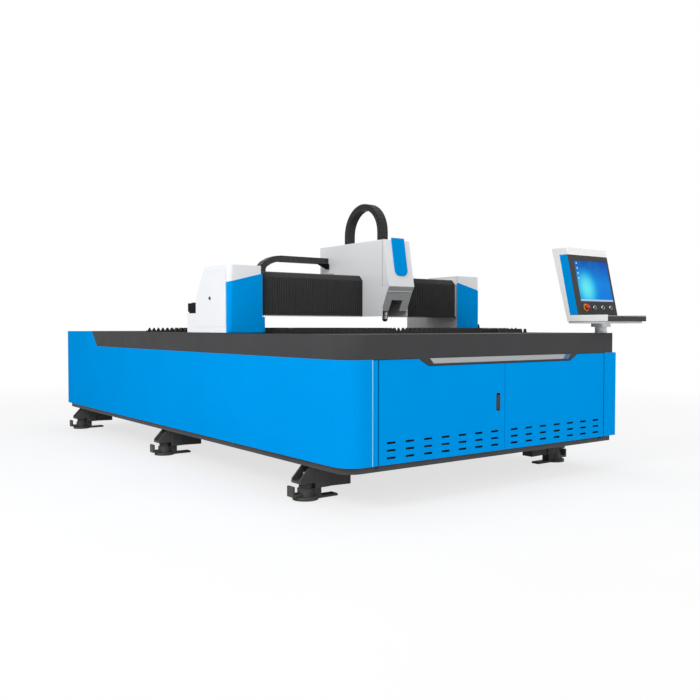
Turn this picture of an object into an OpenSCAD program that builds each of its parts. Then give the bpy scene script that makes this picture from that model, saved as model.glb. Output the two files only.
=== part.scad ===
// Open-bed laser cutting machine: a clad bed with a slat table, a gantry that runs along it,
// a carriage with a lifting cutting head on the gantry's beam, and a swivelling console.
// Origin on the floor at the centre of the foot pattern, +Y from the door end to the rear, +Z up.

/* [Body] */
// Width over the side panels
body_w = 2300; // [2200:10:2400]
// Distance between neighbouring feet along the bed
foot_pitch = 1985; // [1950:5:2050]
// Front face ahead of the front feet
front_overhang = 479; // [460:1:500]
// Rear face behind the rear feet
rear_overhang = 209; // [200:1:240]
// Underside of the welded frame
sill_z = 202; // [198:1:210]
// Lower edge of the panels and doors
panel_z = 240; // [234:1:246]
// Joint between the panels and the guard band
band_z = 810; // [800:1:820]
// Top of the guard band and the decks
deck_z = 944; // [935:1:955]
// Sheet thickness of panels, covers and decks
sheet = 3; // [2:0.5:4]
// Radius of the rounded front left corner
corner_r = 120; // [100:1:130]
// Ledge between the right panel and the guard band
ledge_w = 40; // [38:1:44]
// Width of the guard band's top flange
flange_w = 42; // [36:1:43]
// Depth of the guard band's flange at the front
front_flange = 122; // [115:1:135]
// Full-height stretch of the side panels at the rear, at the top
tail_l = 713; // [680:1:740]
// Run of the band's slanted rear end
tail_slant = 137; // [100:1:160]

/* [Frame] */
// Outer face of the panels to the side beams
frame_gap = 60; // [56:1:64]
// Outer face of the panels to the sills
sill_gap = 22; // [18:1:26]
// Width of a side beam
side_beam_w = 230; // [220:1:240]
// Height of a side beam
side_beam_h = 308; // [280:1:310]
// Wall of the side beams
side_beam_wall = 10; // [8:1:12]
// Width of a sill
sill_w = 168; // [158:1:178]
// Height of a sill
sill_h = 128; // [118:1:134]
// Deck down to the rail seat on the side beams
rail_seat = 76; // [70:1:80]
// Width of the cross members and posts
cross_w = 100; // [80:1:110]
// Height of the upper cross members
cross_h = 80; // [70:1:90]
// Thickness of the shelf behind the doors
shelf_t = 6; // [4:1:8]
// Shelf's run past the front deck
shelf_past = 100; // [80:1:120]

/* [Equipment] */
// Front face to the boxes behind the doors
bay_front = 90; // [80:1:110]
// Width of the laser source
source_w = 700; // [660:1:720]
// Height of the laser source
source_h = 190; // [170:1:200]
// Side beam to the laser source
source_side = 40; // [30:1:50]
// Width of the control cabinet
cabinet_w = 660; // [630:1:680]
// Height of the control cabinet
cabinet_h = 200; // [180:1:205]
// Side beam to the control cabinet
cabinet_side = 20; // [15:1:30]

/* [Table] */
// Front face to the slat table
front_deck_l = 479; // [470:1:490]
// Length of the slat table
table_l = 3150; // [3100:10:3200]
// Side beams to the slats' ends
slat_side = 73; // [68:1:80]
// Height of a slat, foot to tip
slat_h = 120; // [110:1:125]
// Thickness of a slat
slat_t = 5; // [3:0.5:8]
// Spacing of the slats
slat_pitch = 100; // [80:5:120]
// Slat tips over the deck
slat_rise = 34; // [30:1:38]
// Spacing of the teeth on a slat
tooth_pitch = 42; // [38:1:60]
// Depth of the teeth
tooth_h = 25; // [15:1:30]
// Wall of the slat frame
slat_frame_t = 12; // [8:1:14]
// Length of the sheet stop at the table's front
stop_l = 234; // [220:1:250]
// Height of the sheet stop over the deck
stop_rise = 28; // [24:1:30]
// Width of the ledge that carries the slats
slat_ledge = 40; // [30:1:50]
// Depth of the spark pan below the slat frame
pan_depth = 206; // [190:1:210]
// Guide rail width
rail_w = 34; // [30:1:40]
// Guide rail height
rail_h = 28; // [26:1:32]
// Panel's outer face to the guide rail's middle
rail_in = 150; // [140:1:155]
// Rear face to the end of the guide rails
rail_short = 314; // [300:1:330]
// Rack width
rack_w = 30; // [24:1:34]

/* [Feet] */
// Body side to the middle of a foot
foot_in = 60; // [56:1:64]
// Diameter of a foot pad
pad_d = 150; // [130:1:160]
// Thickness of a foot pad
pad_t = 20; // [16:1:24]
// Levelling bolt diameter
bolt_d = 30; // [24:1:33]
// Anchor hole diameter
anchor_d = 18; // [14:1:20]
// Foot's middle to the anchor hole
anchor_in = 185; // [175:1:195]

/* [Doors] */
// Left panel corner to the left leaf
door_in_left = 216; // [210:1:224]
// Right panel corner to the right leaf
door_in_right = 134; // [130:1:140]
// Gap round the leaves
door_gap = 3; // [2:0.5:4]
// Gap at the hinge side of a leaf
hinge_gap = 7; // [6:0.5:8]
// Depth of a leaf's folded edge
door_depth = 24; // [22:1:26]
// Hinge axis in from the leaf's edge and face
hinge_in = 10; // [9:0.5:11]
// Hinge pin diameter
hinge_d = 8; // [6:0.5:10]
// Columns of vents in a leaf
vent_cols = 7; // [5:1:7]
// Rows of vents in a leaf
vent_rows = 3; // [2:1:4]
// Spacing of the vent columns
vent_pitch = 134; // [110:1:138]
// Spacing of the vent rows
vent_row_pitch = 41; // [30:1:45]
// Lowest vents over the leaf's lower edge
vent_rise = 36; // [34:1:50]
// Width of a vent
vent_w = 62; // [50:1:70]
// Height of a vent
vent_h = 12; // [8:1:14]
// Drop of the guard band's tongue between the leaves
tongue_drop = 42; // [36:1:48]
// Width of the tongue's lower edge
tongue_w = 1233; // [1200:1:1260]
// Run of the tongue's slanted ends
tongue_slant = 81; // [60:1:90]
// Width of the recessed handle
handle_w = 32; // [30:1:38]
// Height of the recessed handle
handle_h = 108; // [100:1:120]
// Handle's foot over the leaf's lower edge
handle_rise = 240; // [220:1:260]
// Handle's middle to the leaf's free edge
handle_in = 57; // [50:1:70]

/* [Gantry] */
// Front face to the gantry's front plane at rest
gantry_back = 1309; // [1250:1:1350]
// Running gap between the gantry covers and the deck
cover_gap = 3; // [2:0.5:5]
// Width of an end cover
cover_w = 242; // [236:1:250]
// Top of the end covers over the deck
cover_h = 446; // [440:1:460]
// Covers' front ahead of the bellows
cover_ahead = 15; // [13:1:20]
// Depth of an end cover's flat top
cover_flat = 347; // [340:1:354]
// Run of an end cover's slanted back
cover_slope = 137; // [120:1:150]
// Lower end of the slanted back over the deck
cover_knee = 232; // [215:1:245]
// Top of the rear block over the deck
block_h = 136; // [120:1:150]
// Length of the rear block
block_l = 137; // [120:1:150]
// Radius of the covers' outer front edge
cover_r = 30; // [20:1:40]
// Blue front's edge over the deck, at the outer side
paint_out = 333; // [300:1:360]
// Blue front's edge over the deck, at the inner side
paint_in = 396; // [370:1:420]
// Depth of the box beam
beam_d = 320; // [310:1:330]
// Height of the box beam
beam_h = 235; // [220:1:240]
// Underside of the beam over the deck
beam_rise = 141; // [136:1:150]
// Front plane back to the beam
beam_back = 45; // [44:1:50]
// Wall of the beam
beam_wall = 8; // [6:1:12]
// Underside of the bellows over the deck
bellows_rise = 111; // [105:1:120]
// Height of the bellows
bellows_h = 304; // [298:1:308]
// Chamfer along the bellows' upper front edge
bellows_chamfer = 35; // [25:1:40]
// Depth of the bellows' folds
fold_d = 12; // [8:1:13]
// Spacing of the bellows' folds
fold_pitch = 17.5; // [15:0.5:25]

/* [Cable chains] */
// Width of the chains
chain_w = 66; // [60:1:68]
// Thickness of the chains
chain_t = 44; // [38:1:46]
// Length of a chain link
link_pitch = 48; // [40:1:60]
// Front plane back to the beam chain
chain_back = 435; // [430:1:440]
// Top of the beam chain over the deck
chain_rise = 570; // [560:1:575]
// Outer radius of the chain's bend
bend_r = 80; // [75:1:90]
// Outer radius where the chain leaves the upper run
sweep_r = 270; // [250:1:280]
// Angle of that wide sweep
sweep_a = 35; // [30:1:38]
// Middle of the bed to the start of the sweep
sweep_x = 460; // [455:1:475]
// Middle of the bed to the chain's fixed end
anchor_x = 100; // [60:1:140]
// Outer radius of the arched chain over the head
arch_r = 222; // [210:1:230]
// Top of the arch over the head's top
arch_rise = 296; // [281:1:306]
// Front plane back to the arch's middle
arch_back = 115; // [110:1:120]

/* [Head] */
// Middle of the head from the middle of the bed
head_x = 72; // [60:1:80]
// Width of the head cover
head_w = 234; // [228:1:240]
// Top of the head cover over the deck
head_rise = 659; // [650:1:670]
// Underside of the head cover over the deck
head_foot = 116; // [110:1:120]
// Shelf of the carriage over the deck
shelf_rise = 451; // [446:1:456]
// Front plane back to the head cover's rear
head_back = 549; // [540:1:560]
// Front plane forward to the head cover's seam
seam_out = 230; // [225:1:235]
// Front plane forward to the head front's top edge
brow_out = 245; // [240:1:250]
// Front plane forward to the head front's lower edge
chin_out = 305; // [300:1:310]
// Head front's lower edge over the deck
chin_rise = 326; // [320:1:332]
// Guard's bend over the deck
jaw_rise = 287; // [280:1:292]
// Guard's foot over the deck
guard_rise = 154; // [148:1:160]
// Width of the guard's opening
guard_gap = 104; // [98:1:110]
// Top of the guard's opening over the deck
guard_top = 231; // [225:1:240]
// Width of the badge plate
badge_w = 114; // [104:1:134]
// Length of the badge plate
badge_l = 274; // [250:1:280]
// Front plane forward to the cutting head's axis
nozzle_out = 115; // [112:1:118]
// Nozzle tip over the deck
nozzle_rise = 80; // [76:1:90]

/* [Console] */
// Body side to the console's post
post_in = 100; // [95:1:105]
// Front face back to the console's post
post_back = 51; // [48:1:56]
// Diameter of the post
post_d = 80; // [70:1:90]
// Diameter of the swivel pin
pivot_d = 50; // [40:1:56]
// Post's height over the deck
post_h = 40; // [36:1:46]
// Width of the console
console_w = 432; // [420:1:440]
// Tilt of the panel, back from upright
panel_tilt = 12.8; // [11:0.1:14]
// Length of the panel up its slope
panel_l = 424; // [410:1:430]
// Thickness of the panel
panel_t = 6; // [5:0.5:8]
// Depth of the blue box behind the panel
box_d = 66; // [60:1:70]
// Depth of the white shell behind the box
shell_d = 57; // [52:1:64]
// Shell's loss of depth towards its foot
shell_taper = 24; // [18:1:30]
// Height of the white strip over the panel
hood_h = 50; // [40:1:54]
// Depth of the keyboard tray ahead of the panel
tray_d = 225; // [215:1:232]
// Width of the screen
screen_w = 358; // [340:1:362]
// Height of the screen
screen_h = 287; // [270:1:290]
// Spacing of the push buttons
button_pitch = 90; // [80:1:92]
// Push button diameter
button_d = 22; // [18:1:24]
// Emergency stop's head diameter
estop_d = 38; // [34:1:40]

/* [Hidden] */
$fn = 48;

// Colours
blue = [0.0, 0.55, 0.86];
dark = [0.26, 0.26, 0.26];
black = [0.1, 0.1, 0.1];
white = [0.93, 0.93, 0.92];
grey = [0.5, 0.5, 0.5];
steel = [0.65, 0.66, 0.68];

// Overlap of cutting tools past the faces they cut
cut = 1;
// Clearance of sliding fits
slide_gap = 0.5;

// Body
hw = body_w / 2;
yf = -(foot_pitch + front_overhang);
yr = foot_pitch + rear_overhang;
tail_y = yr - tail_l;
seat_z = deck_z - rail_seat;
beam_out = hw - frame_gap;
beam_in = beam_out - side_beam_w;
sill_out = hw - sill_gap;
sill_top = sill_z + sill_h;
sill_r = corner_r - sill_gap;
cross_top = seat_z - side_beam_h + cross_h;
frame_front = yf + 30;
frame_rear = yr - 40;
shelf_rear = yf + front_deck_l + shelf_past;
shelf_top = sill_top + shelf_t;
shelf_lap = 30;
ledge_x = hw - ledge_w;
left_edge = hw - sheet - flange_w;
right_edge = ledge_x - sheet - flange_w;
deck_y0 = yf + max(front_flange, corner_r);

// Table
table_y0 = yf + front_deck_l;
table_y1 = table_y0 + table_l;
tip_z = deck_z + slat_rise;
slat_foot = tip_z - slat_h;
slat_gap = 1;
slat_l = 2 * (beam_in - slat_side);
web_x = slat_l / 2 + slat_gap;
ledge_t = 8;
seat_w = 40;
slat_margin = 50;
slat_count = floor((table_l - 2 * slat_margin) / slat_pitch) + 1;
slat_y0 = table_y0 + (table_l - (slat_count - 1) * slat_pitch) / 2;
rail_x = hw - rail_in;
rail_y0 = table_y0 + 35;
rail_y1 = yr - rail_short;
rack_x = rail_x + rail_w / 2 + 28;

// Feet
foot_x = hw - foot_in;
plate_z = 96;
plate_t = 14;
shank_x = 40;
shank_z = 66;
hub_d = 96;
hub_z = 92;
hub_neck_d = 2 * shank_x - 2;
hub_neck_z = shank_z - 2;
ear_w = 62;
ear_t = 14;

// Doors
door_l = -hw + door_in_left;
door_r = hw - door_in_right;
door_m = (door_l + door_r) / 2;
door_top = band_z - door_gap;
jamb_x = -hw + 176;
hinge_y = yf + hinge_in;
vent_z = panel_z + vent_rise;
handle_x = door_m - handle_in;
handle_z = panel_z + handle_rise;
handle_depth = 16;
lever_w = handle_w - 10;
lever_t = 7;
lever_pivot_z = handle_z + handle_h - 16;
lever_pivot_y = yf + 6;
bracket_t = 10;
bracket_w = 30;

// Gantry
gy = yf + gantry_back;
cover_out = hw - 4;
cover_in = cover_out - cover_w;
cover_z = deck_z + cover_gap;
cover_top = deck_z + cover_h;
skin_t = 3;
cover_front = gy - cover_ahead;
cover_y = cover_front + skin_t;
skin_lip = 10;
knee_y = cover_y + cover_flat + cover_slope;
block_y = knee_y + block_l;
beam_y = gy + beam_back;
beam_z = deck_z + beam_rise;
beam_top = beam_z + beam_h;
beam_half = cover_in + 5;
column_y0 = beam_y - 10;
column_d = beam_d + 10;
saddle_z = seat_z + 42;
saddle_t = 20;
saddle_y0 = gy + 15;
saddle_y1 = block_y - 15;
saddle_in = rail_x - 95;
saddle_out = rail_x + 58;
block_len = 100;
bellows_z = deck_z + bellows_rise;
bellows_top = bellows_z + bellows_h;
bellows_in = 20;
guide_h = 30;
guide_d = 18;
guide_low = beam_z + 20;
guide_high = beam_top - 50;
bellows_end = cover_in - 1;

// Cable chains
chain_y = gy + chain_back;
chain_top = deck_z + chain_rise;
sweep_z = chain_top - sweep_r;
bend_x = -sweep_x - (sweep_r - bend_r) * sin(sweep_a);
bend_z = sweep_z + (sweep_r - bend_r) * cos(sweep_a);
chain_low = bend_z - bend_r;
link_gap = 3;
core_in = 4;
chain_gap = 0.5;
tray_wall = 4;
tray_gap = 5;
tray_lip = 32;

// Head
head_l = head_x - head_w / 2;
head_r = head_x + head_w / 2;
head_top = deck_z + head_rise;
arch_y = gy + arch_back;
arch_z = head_top + arch_rise - arch_r;
head_z = deck_z + head_foot;
head_y1 = gy + head_back;
seam_y = gy - seam_out;
brow_y = gy - brow_out;
chin_y = gy - chin_out;
chin_z = deck_z + chin_rise;
jaw_y = chin_y + 24;
jaw_z = deck_z + jaw_rise;
guard_z = deck_z + guard_rise;
guard_y = jaw_y + 61;
guard_t = 10;
shelf_z = deck_z + shelf_rise;
carriage_t = 20;
carriage_y = gy - 12;
carriage_shelf_t = 12;
brow_tilt = atan((brow_y - chin_y) / (head_top - chin_z));
nozzle_y = gy - nozzle_out;
nozzle_z = deck_z + nozzle_rise;
lift_y1 = carriage_y - 3;
lift_y0 = lift_y1 - 35;
lift_w = 120;
lift_rail_x = 40;
lift_rail_w = 12;
lift_rail_d = 11;
lift_z0 = beam_z + 35;
lift_z1 = lift_z0 + 280;

// Console
post_x = hw - post_in;
post_y = yf + post_back;
post_top = deck_z + post_h;
collar_gap = 0.4;
collar_h = 24;
base_z = post_top + collar_gap + collar_h;
base_t = 14;
tray_z = base_z + base_t;
panel_z0 = tray_z + 42;
panel_y0 = post_y + 18;
tray_t = 34;
cheek_t = 5;
screen_x = 17;
screen_z = 99;
rabbet = 8;
controls_z = 53;
estop_x = -125;
button_x = -32;

// Shapes and placing

// Block between two corners
module block(x0, x1, y0, y1, z0, z1) {
  translate([x0, y0, z0]) cube([x1 - x0, y1 - y0, z1 - z0]);
}

// Children as they are and mirrored to the other side of the bed
module both_sides() {
  children();
  mirror([1, 0, 0]) children();
}

// Outline in Y and Z, drawn out along X
module along_x(x0, x1) {
  translate([x0, 0, 0]) rotate([90, 0, 90]) linear_extrude(x1 - x0) children();
}

// Outline in X and Z, drawn out along Y
module along_y(y0, y1) {
  translate([0, y1, 0]) rotate([90, 0, 0]) linear_extrude(y1 - y0) children();
}

// Rectangle about its middle with round corners
module rounded(w, h, r) {
  square([w - 2 * r, h], center = true);
  square([w, h - 2 * r], center = true);
  for (sx = [-1, 1], sy = [-1, 1])
    translate([sx * (w / 2 - r), sy * (h / 2 - r)]) circle(r);
}

// Quarter ring of wall t at the rounded front left corner
module corner_ring(t, z0, z1) {
  translate([-hw + corner_r, yf + corner_r, z0])
    rotate([0, 0, 180])
      rotate_extrude(angle = 90)
        translate([corner_r - t, 0]) square([t, z1 - z0]);
}

// Bed

module frame_tube(x0, x1, y0, y1, z0, z1, wall) {
  difference() {
    block(x0, x1, y0, y1, z0, z1);
    block(x0 + wall, x1 - wall, y0 - cut, y1 + cut, z0 + wall, z1 - wall);
  }
}

// Plan of the sills: the right one is square at the front, the left one follows the rounded corner
module sill_plans() {
  length = frame_rear - frame_front;
  translate([sill_out - sill_w, frame_front]) square([sill_w, length]);
  mirror([1, 0]) {
    translate([sill_out - sill_w, frame_front + sill_r]) square([sill_w, length - sill_r]);
    translate([sill_out - sill_w, frame_front]) square([sill_w - sill_r, sill_r]);
    translate([sill_out - sill_r, frame_front + sill_r]) circle(sill_r);
  }
}

module base_frame() {
  color(dark) union() {
    translate([0, 0, sill_z]) linear_extrude(sill_h) sill_plans();
    for (y = [frame_front, frame_rear - cross_w])
      block(sill_w - sill_out, sill_out - sill_w, y, y + cross_w, sill_z, sill_top);
    for (i = [-1:1])
      block(sill_w - sill_out, sill_out - sill_w, i * foot_pitch / 2 - cross_w / 2,
            i * foot_pitch / 2 + cross_w / 2, sill_z, sill_top);
    block(sill_w - sill_out - shelf_lap, sill_out - sill_w + shelf_lap, frame_front, shelf_rear, sill_top, shelf_top);
  }
}

module side_beams() {
  color(dark) both_sides()
    frame_tube(beam_in, beam_out, frame_front + 60, frame_rear, seat_z - side_beam_h, seat_z, side_beam_wall);
}

module frame_posts() {
  color(dark) both_sides()
    for (i = [-1:1])
      block(sill_out - sill_w + shelf_lap, beam_out, i * foot_pitch - cross_w / 2, i * foot_pitch + cross_w / 2,
            sill_top, seat_z - side_beam_h);
}

module cross_members() {
  color(dark)
    for (i = [-1:1])
      block(-beam_in, beam_in, i * foot_pitch / 2 - cross_w / 2, i * foot_pitch / 2 + cross_w / 2,
            cross_top - cross_h, cross_top);
}

// Side outline of a panel with its full-height tail
module panel_outline(y0) {
  polygon([
    [y0, panel_z], [yr, panel_z], [yr, deck_z], [tail_y, deck_z],
    [tail_y - tail_slant, band_z], [y0, band_z]
  ]);
}

module side_panel_left() {
  color(blue) union() {
    along_x(-hw, -hw + sheet) panel_outline(yf + corner_r);
    corner_ring(sheet, panel_z, band_z);
    block(-hw + corner_r, jamb_x, yf, yf + sheet, panel_z, band_z);
    block(jamb_x - sheet, jamb_x, yf + sheet, frame_front, panel_z, band_z);
    block(-hw + sheet, -sill_out, yf + corner_r, frame_rear, panel_z, panel_z + sheet);
    block(sheet - hw, sheet - hw + flange_w, tail_y, yr - sheet, deck_z - sheet, deck_z);
  }
}

module side_panel_right() {
  color(blue) union() {
    along_x(hw - sheet, hw) panel_outline(yf);
    block(door_r + hinge_gap, hw - sheet, yf, yf + sheet, panel_z, band_z);
    block(ledge_x - 2 * sheet, hw - sheet, yf + sheet, tail_y - tail_slant, band_z - sheet, band_z);
    block(sill_out, hw - sheet, yf + sheet, frame_rear, panel_z, panel_z + sheet);
    block(right_edge, hw - sheet, tail_y, yr - sheet, deck_z - sheet, deck_z);
    along_x(ledge_x, hw - sheet) polygon([
      [tail_y - tail_slant, band_z - sheet], [tail_y - tail_slant + sheet, band_z - sheet],
      [tail_y + sheet, deck_z - sheet], [tail_y, deck_z - sheet], [tail_y - tail_slant, band_z]
    ]);
  }
}

module rear_panel() {
  color(blue) union() {
    block(sheet - hw, hw - sheet, yr - sheet, yr, panel_z, deck_z);
    block(-sill_out, sill_out, frame_rear, yr - sheet, panel_z, panel_z + sheet);
  }
}

// Tongue of the guard band between the door leaves, grown by a clearance
module tongue_outline(grow) {
  half = tongue_w / 2 + grow;
  polygon([
    [door_m - half - tongue_slant, band_z], [door_m - half, band_z - tongue_drop - grow],
    [door_m + half, band_z - tongue_drop - grow], [door_m + half + tongue_slant, band_z]
  ]);
}

module guard_band() {
  color(dark) union() {
    along_x(-hw, -hw + sheet) polygon([
      [yf + corner_r, band_z], [tail_y - tail_slant, band_z], [tail_y, deck_z], [yf + corner_r, deck_z]
    ]);
    corner_ring(sheet, band_z, deck_z);
    block(corner_r - hw, ledge_x, yf, yf + sheet, band_z, deck_z);
    along_y(yf, yf + sheet) tongue_outline(0);
    block(ledge_x - sheet, ledge_x, yf + sheet, tail_y, band_z, deck_z);
    block(sheet - hw, sheet - hw + flange_w, yf + corner_r, tail_y, deck_z - sheet, deck_z);
    block(right_edge, ledge_x - sheet, deck_y0, tail_y, deck_z - sheet, deck_z);
    block(corner_r - hw, ledge_x - sheet, yf + sheet, deck_y0, deck_z - sheet, deck_z);
    corner_ring(corner_r - sheet, deck_z - sheet, deck_z);
  }
}

module trim_bar() {
  trim_h = 32;
  trim_t = 4;
  half = tongue_w / 2 - 32;
  lean = tongue_slant * trim_h / tongue_drop;
  color(steel) along_y(yf - trim_t, yf) polygon([
    [door_m - half - lean / 2, band_z], [door_m - half, band_z - trim_h],
    [door_m + half, band_z - trim_h], [door_m + half + lean / 2, band_z]
  ]);
}

module end_decks() {
  deck_t = 2 * sheet;
  leg_x = beam_out - 30;
  wide_y0 = rail_y1 + 10;
  narrow_x = beam_in + 15;
  color(dark) {
    union() {
      block(-left_edge, right_edge, deck_y0, table_y0, deck_z - deck_t, deck_z);
      for (x = [-leg_x, leg_x - deck_t])
        block(x, x + deck_t, deck_y0, table_y0 - 10, seat_z, deck_z - deck_t);
    }
    union() {
      block(-narrow_x, narrow_x, table_y1, wide_y0, deck_z - deck_t, deck_z);
      block(-left_edge, right_edge, wide_y0, yr - sheet, deck_z - deck_t, deck_z);
      for (x = [-leg_x, leg_x - deck_t])
        block(x, x + deck_t, wide_y0, frame_rear, seat_z, deck_z - deck_t);
      for (x = [-narrow_x, narrow_x - deck_t])
        block(x, x + deck_t, table_y1, wide_y0, seat_z, deck_z - deck_t);
    }
  }
}

module slat_frame() {
  color(dark) union() {
    both_sides() {
      block(web_x, web_x + slat_frame_t, table_y0, table_y1, slat_foot - ledge_t, deck_z);
      block(web_x - slat_ledge, web_x, table_y0, table_y1, slat_foot - ledge_t, slat_foot);
      block(web_x + slat_frame_t, beam_in + seat_w, table_y0, table_y1, seat_z, seat_z + ledge_t);
    }
    for (y = [table_y0, table_y1 - slat_frame_t])
      block(-web_x, web_x, y, y + slat_frame_t, slat_foot - ledge_t, deck_z);
    along_y(table_y0, table_y0 + slat_frame_t) translate([web_x, deck_z]) sheet_stop();
  }
}

// Outline of the sheet stop, a flat plate and a stud, leftwards from the table's side
module sheet_stop() {
  stud_w = 27;
  lean = 8;
  x1 = -stud_w - 18;
  polygon([[-stud_w, 0], [0, 0], [-lean, stop_rise], [lean - stud_w, stop_rise]]);
  polygon([[x1 - stop_l, 0], [x1, 0], [x1 - lean, stop_rise], [x1 - stop_l + lean, stop_rise]]);
}

// Toothed outline of a slat
module slat_outline() {
  count = floor(slat_l / tooth_pitch);
  margin = (slat_l - count * tooth_pitch) / 2;
  valley = tip_z - tooth_h;
  tip_w = 8;
  x0 = -slat_l / 2;
  polygon(concat(
    [[x0, slat_foot], [x0, valley]],
    [for (i = [0:count - 1], k = [0:3])
      let (x = x0 + margin + i * tooth_pitch + tooth_pitch / 2)
      k == 0 ? [x - tooth_pitch / 2 + 3, valley] :
      k == 1 ? [x - tip_w / 2, tip_z] :
      k == 2 ? [x + tip_w / 2, tip_z] : [x + tooth_pitch / 2 - 3, valley]],
    [[-x0, valley], [-x0, slat_foot]]
  ));
}

module slats() {
  color([0.2, 0.19, 0.18])
    for (i = [0:slat_count - 1])
      let (y = slat_y0 + i * slat_pitch)
        along_y(y - slat_t / 2, y + slat_t / 2) slat_outline();
}

module spark_pan() {
  wall = 4;
  floor_half = 500;
  side_x = beam_in - 2;
  lip_z = cross_top + pan_depth;
  color(dark) union() {
    along_y(table_y0 + 5, table_y1 - 5) polygon([
      [-floor_half, cross_top], [floor_half, cross_top], [side_x, lip_z], [side_x - wall, lip_z],
      [floor_half - wall / 2, cross_top + wall], [wall / 2 - floor_half, cross_top + wall],
      [wall - side_x, lip_z], [-side_x, lip_z]
    ]);
    for (y = [table_y0 + 5, table_y1 - 5 - wall])
      along_y(y, y + wall) polygon([
        [-floor_half, cross_top], [floor_half, cross_top], [side_x, lip_z], [-side_x, lip_z]
      ]);
  }
}

module guide_rails() {
  waist = 5;
  rack_h = 30;
  color(steel) both_sides() {
    along_y(rail_y0, rail_y1) translate([rail_x, seat_z]) polygon([
      [-rail_w / 2, 0], [rail_w / 2, 0], [rail_w / 2, rail_h / 3], [rail_w / 2 - waist, rail_h / 2],
      [rail_w / 2 - waist, rail_h * 2 / 3], [rail_w / 2, rail_h * 5 / 6], [rail_w / 2, rail_h],
      [-rail_w / 2, rail_h], [-rail_w / 2, rail_h * 5 / 6], [waist - rail_w / 2, rail_h * 2 / 3],
      [waist - rail_w / 2, rail_h / 2], [-rail_w / 2, rail_h / 3]
    ]);
    block(rack_x, rack_x + rack_w, rail_y0, rail_y1, seat_z, seat_z + rack_h);
  }
}

// Children at each of the six feet, drawn as on the right-hand side
module at_feet() {
  for (i = [-1:1])
    translate([0, i * foot_pitch, 0]) both_sides() translate([foot_x, 0, 0]) children();
}

module foot_brackets() {
  post_in_x = foot_x - sill_out + sill_w;
  wing = 66;
  wing_h = 10;
  arm = 290;
  arm_drop = 4;
  web_y = 35;
  web_t = 12;
  color(black) at_feet() difference() {
    union() {
      block(-post_in_x, -shank_x, -55, 55, shank_z, sill_z);
      block(-shank_x, wing, -50, 50, plate_z, plate_z + plate_t);
      along_y(-45, 45) polygon([
        [-post_in_x, shank_z], [-arm, shank_z - arm_drop], [-arm, sill_z], [-post_in_x, sill_z]
      ]);
      for (y = [-web_y - web_t, web_y])
        along_y(y, y + web_t) polygon([
          [-shank_x, plate_z + plate_t], [wing, plate_z + plate_t], [wing, plate_z + plate_t + wing_h],
          [28 - shank_x, sill_z], [-shank_x, sill_z]
        ]);
    }
    translate([0, 0, plate_z - cut]) cylinder(h = plate_t + 2 * cut, d = bolt_d + 3);
  }
}

module foot_pads() {
  lug_x = 105;
  lug_t = 14;
  lug_z0 = pad_t + 4;
  lug_z1 = 84;
  root_l = 90;
  tip = 20;
  color(black) at_feet() difference() {
    union() {
      cylinder(h = pad_t - 4, d = pad_d);
      translate([0, 0, pad_t - 4]) cylinder(h = 4, d1 = pad_d, d2 = pad_d - 8);
      translate([0, 0, pad_t]) cylinder(h = hub_neck_z - pad_t, d = hub_d);
      translate([0, 0, hub_neck_z]) cylinder(h = hub_z - hub_neck_z, d = hub_neck_d);
      block(-anchor_in - tip, 0, -ear_w / 2, ear_w / 2, 0, ear_t);
      block(-root_l, 0, -ear_w / 2, ear_w / 2, ear_t, hub_neck_z);
      block(0, lug_x, -ear_w / 2, ear_w / 2, lug_z0, lug_z0 + lug_t);
      block(lug_x - lug_t, lug_x, -ear_w / 2, ear_w / 2, lug_z0 + lug_t, lug_z1);
    }
    translate([-anchor_in, 0, -cut]) cylinder(h = ear_t + 2 * cut, d = anchor_d);
  }
}

module levelling_bolts() {
  nut_d = 52;
  nut_h = 22;
  color(grey) at_feet() union() {
    translate([0, 0, hub_z]) cylinder(h = plate_z + plate_t + nut_h + 25 - hub_z, d = bolt_d);
    translate([0, 0, plate_z + plate_t]) cylinder(h = nut_h, d = nut_d, $fn = 6);
  }
}

// Hinge bracket with its bore, under or over a leaf
module hinge_bracket(x, y1, z) {
  difference() {
    block(x - bracket_w / 2, x + bracket_w / 2, yf + sheet, y1, z, z + bracket_t);
    translate([x, hinge_y, z - cut]) cylinder(h = bracket_t + 2 * cut, d = hinge_d + 0.16);
  }
}

module door_frame() {
  strip_x = jamb_x + door_gap;
  strip_w = door_l - hinge_gap - strip_x;
  low_z = panel_z - bracket_t - 2;
  color(blue) {
    union() {
      block(strip_x, strip_x + strip_w, yf, yf + sheet, panel_z, door_top);
      block(strip_x, strip_x + sheet, yf + sheet, frame_front, panel_z, door_top);
    }
    for (x = [door_l + hinge_in, door_r - hinge_in]) {
      hinge_bracket(x, frame_front, low_z);
      hinge_bracket(x, yf + 24, band_z + 2);
    }
  }
}

// Box with a front plate, feet and a row of cooling fins, between two corners
module cabinet(x0, x1, y0, y1, z1) {
  fin_t = 4;
  fin_d = 12;
  fins = 9;
  union() {
    block(x0, x1, y0, y1, shelf_top, z1);
    for (i = [1:fins])
      let (x = x0 + (x1 - x0) * i / (fins + 1))
        block(x, x + fin_t, y0 - fin_d, y0, shelf_top + 60, z1 - 60);
  }
}

module cabinets() {
  source_x = source_side - beam_in;
  cabinet_x = beam_in - cabinet_side;
  color(steel) cabinet(source_x, source_x + source_w, yf + bay_front, shelf_rear - 20, shelf_top + source_h);
  color(grey) cabinet(cabinet_x - cabinet_w, cabinet_x, yf + bay_front, shelf_rear - 20, shelf_top + cabinet_h);
}

module console_post() {
  pin_h = 18;
  color(grey) union() {
    translate([post_x, post_y, deck_z]) cylinder(h = post_h, d = post_d);
    translate([post_x, post_y, post_top]) cylinder(h = pin_h, d = pivot_d);
  }
}

// Front doors

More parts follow.
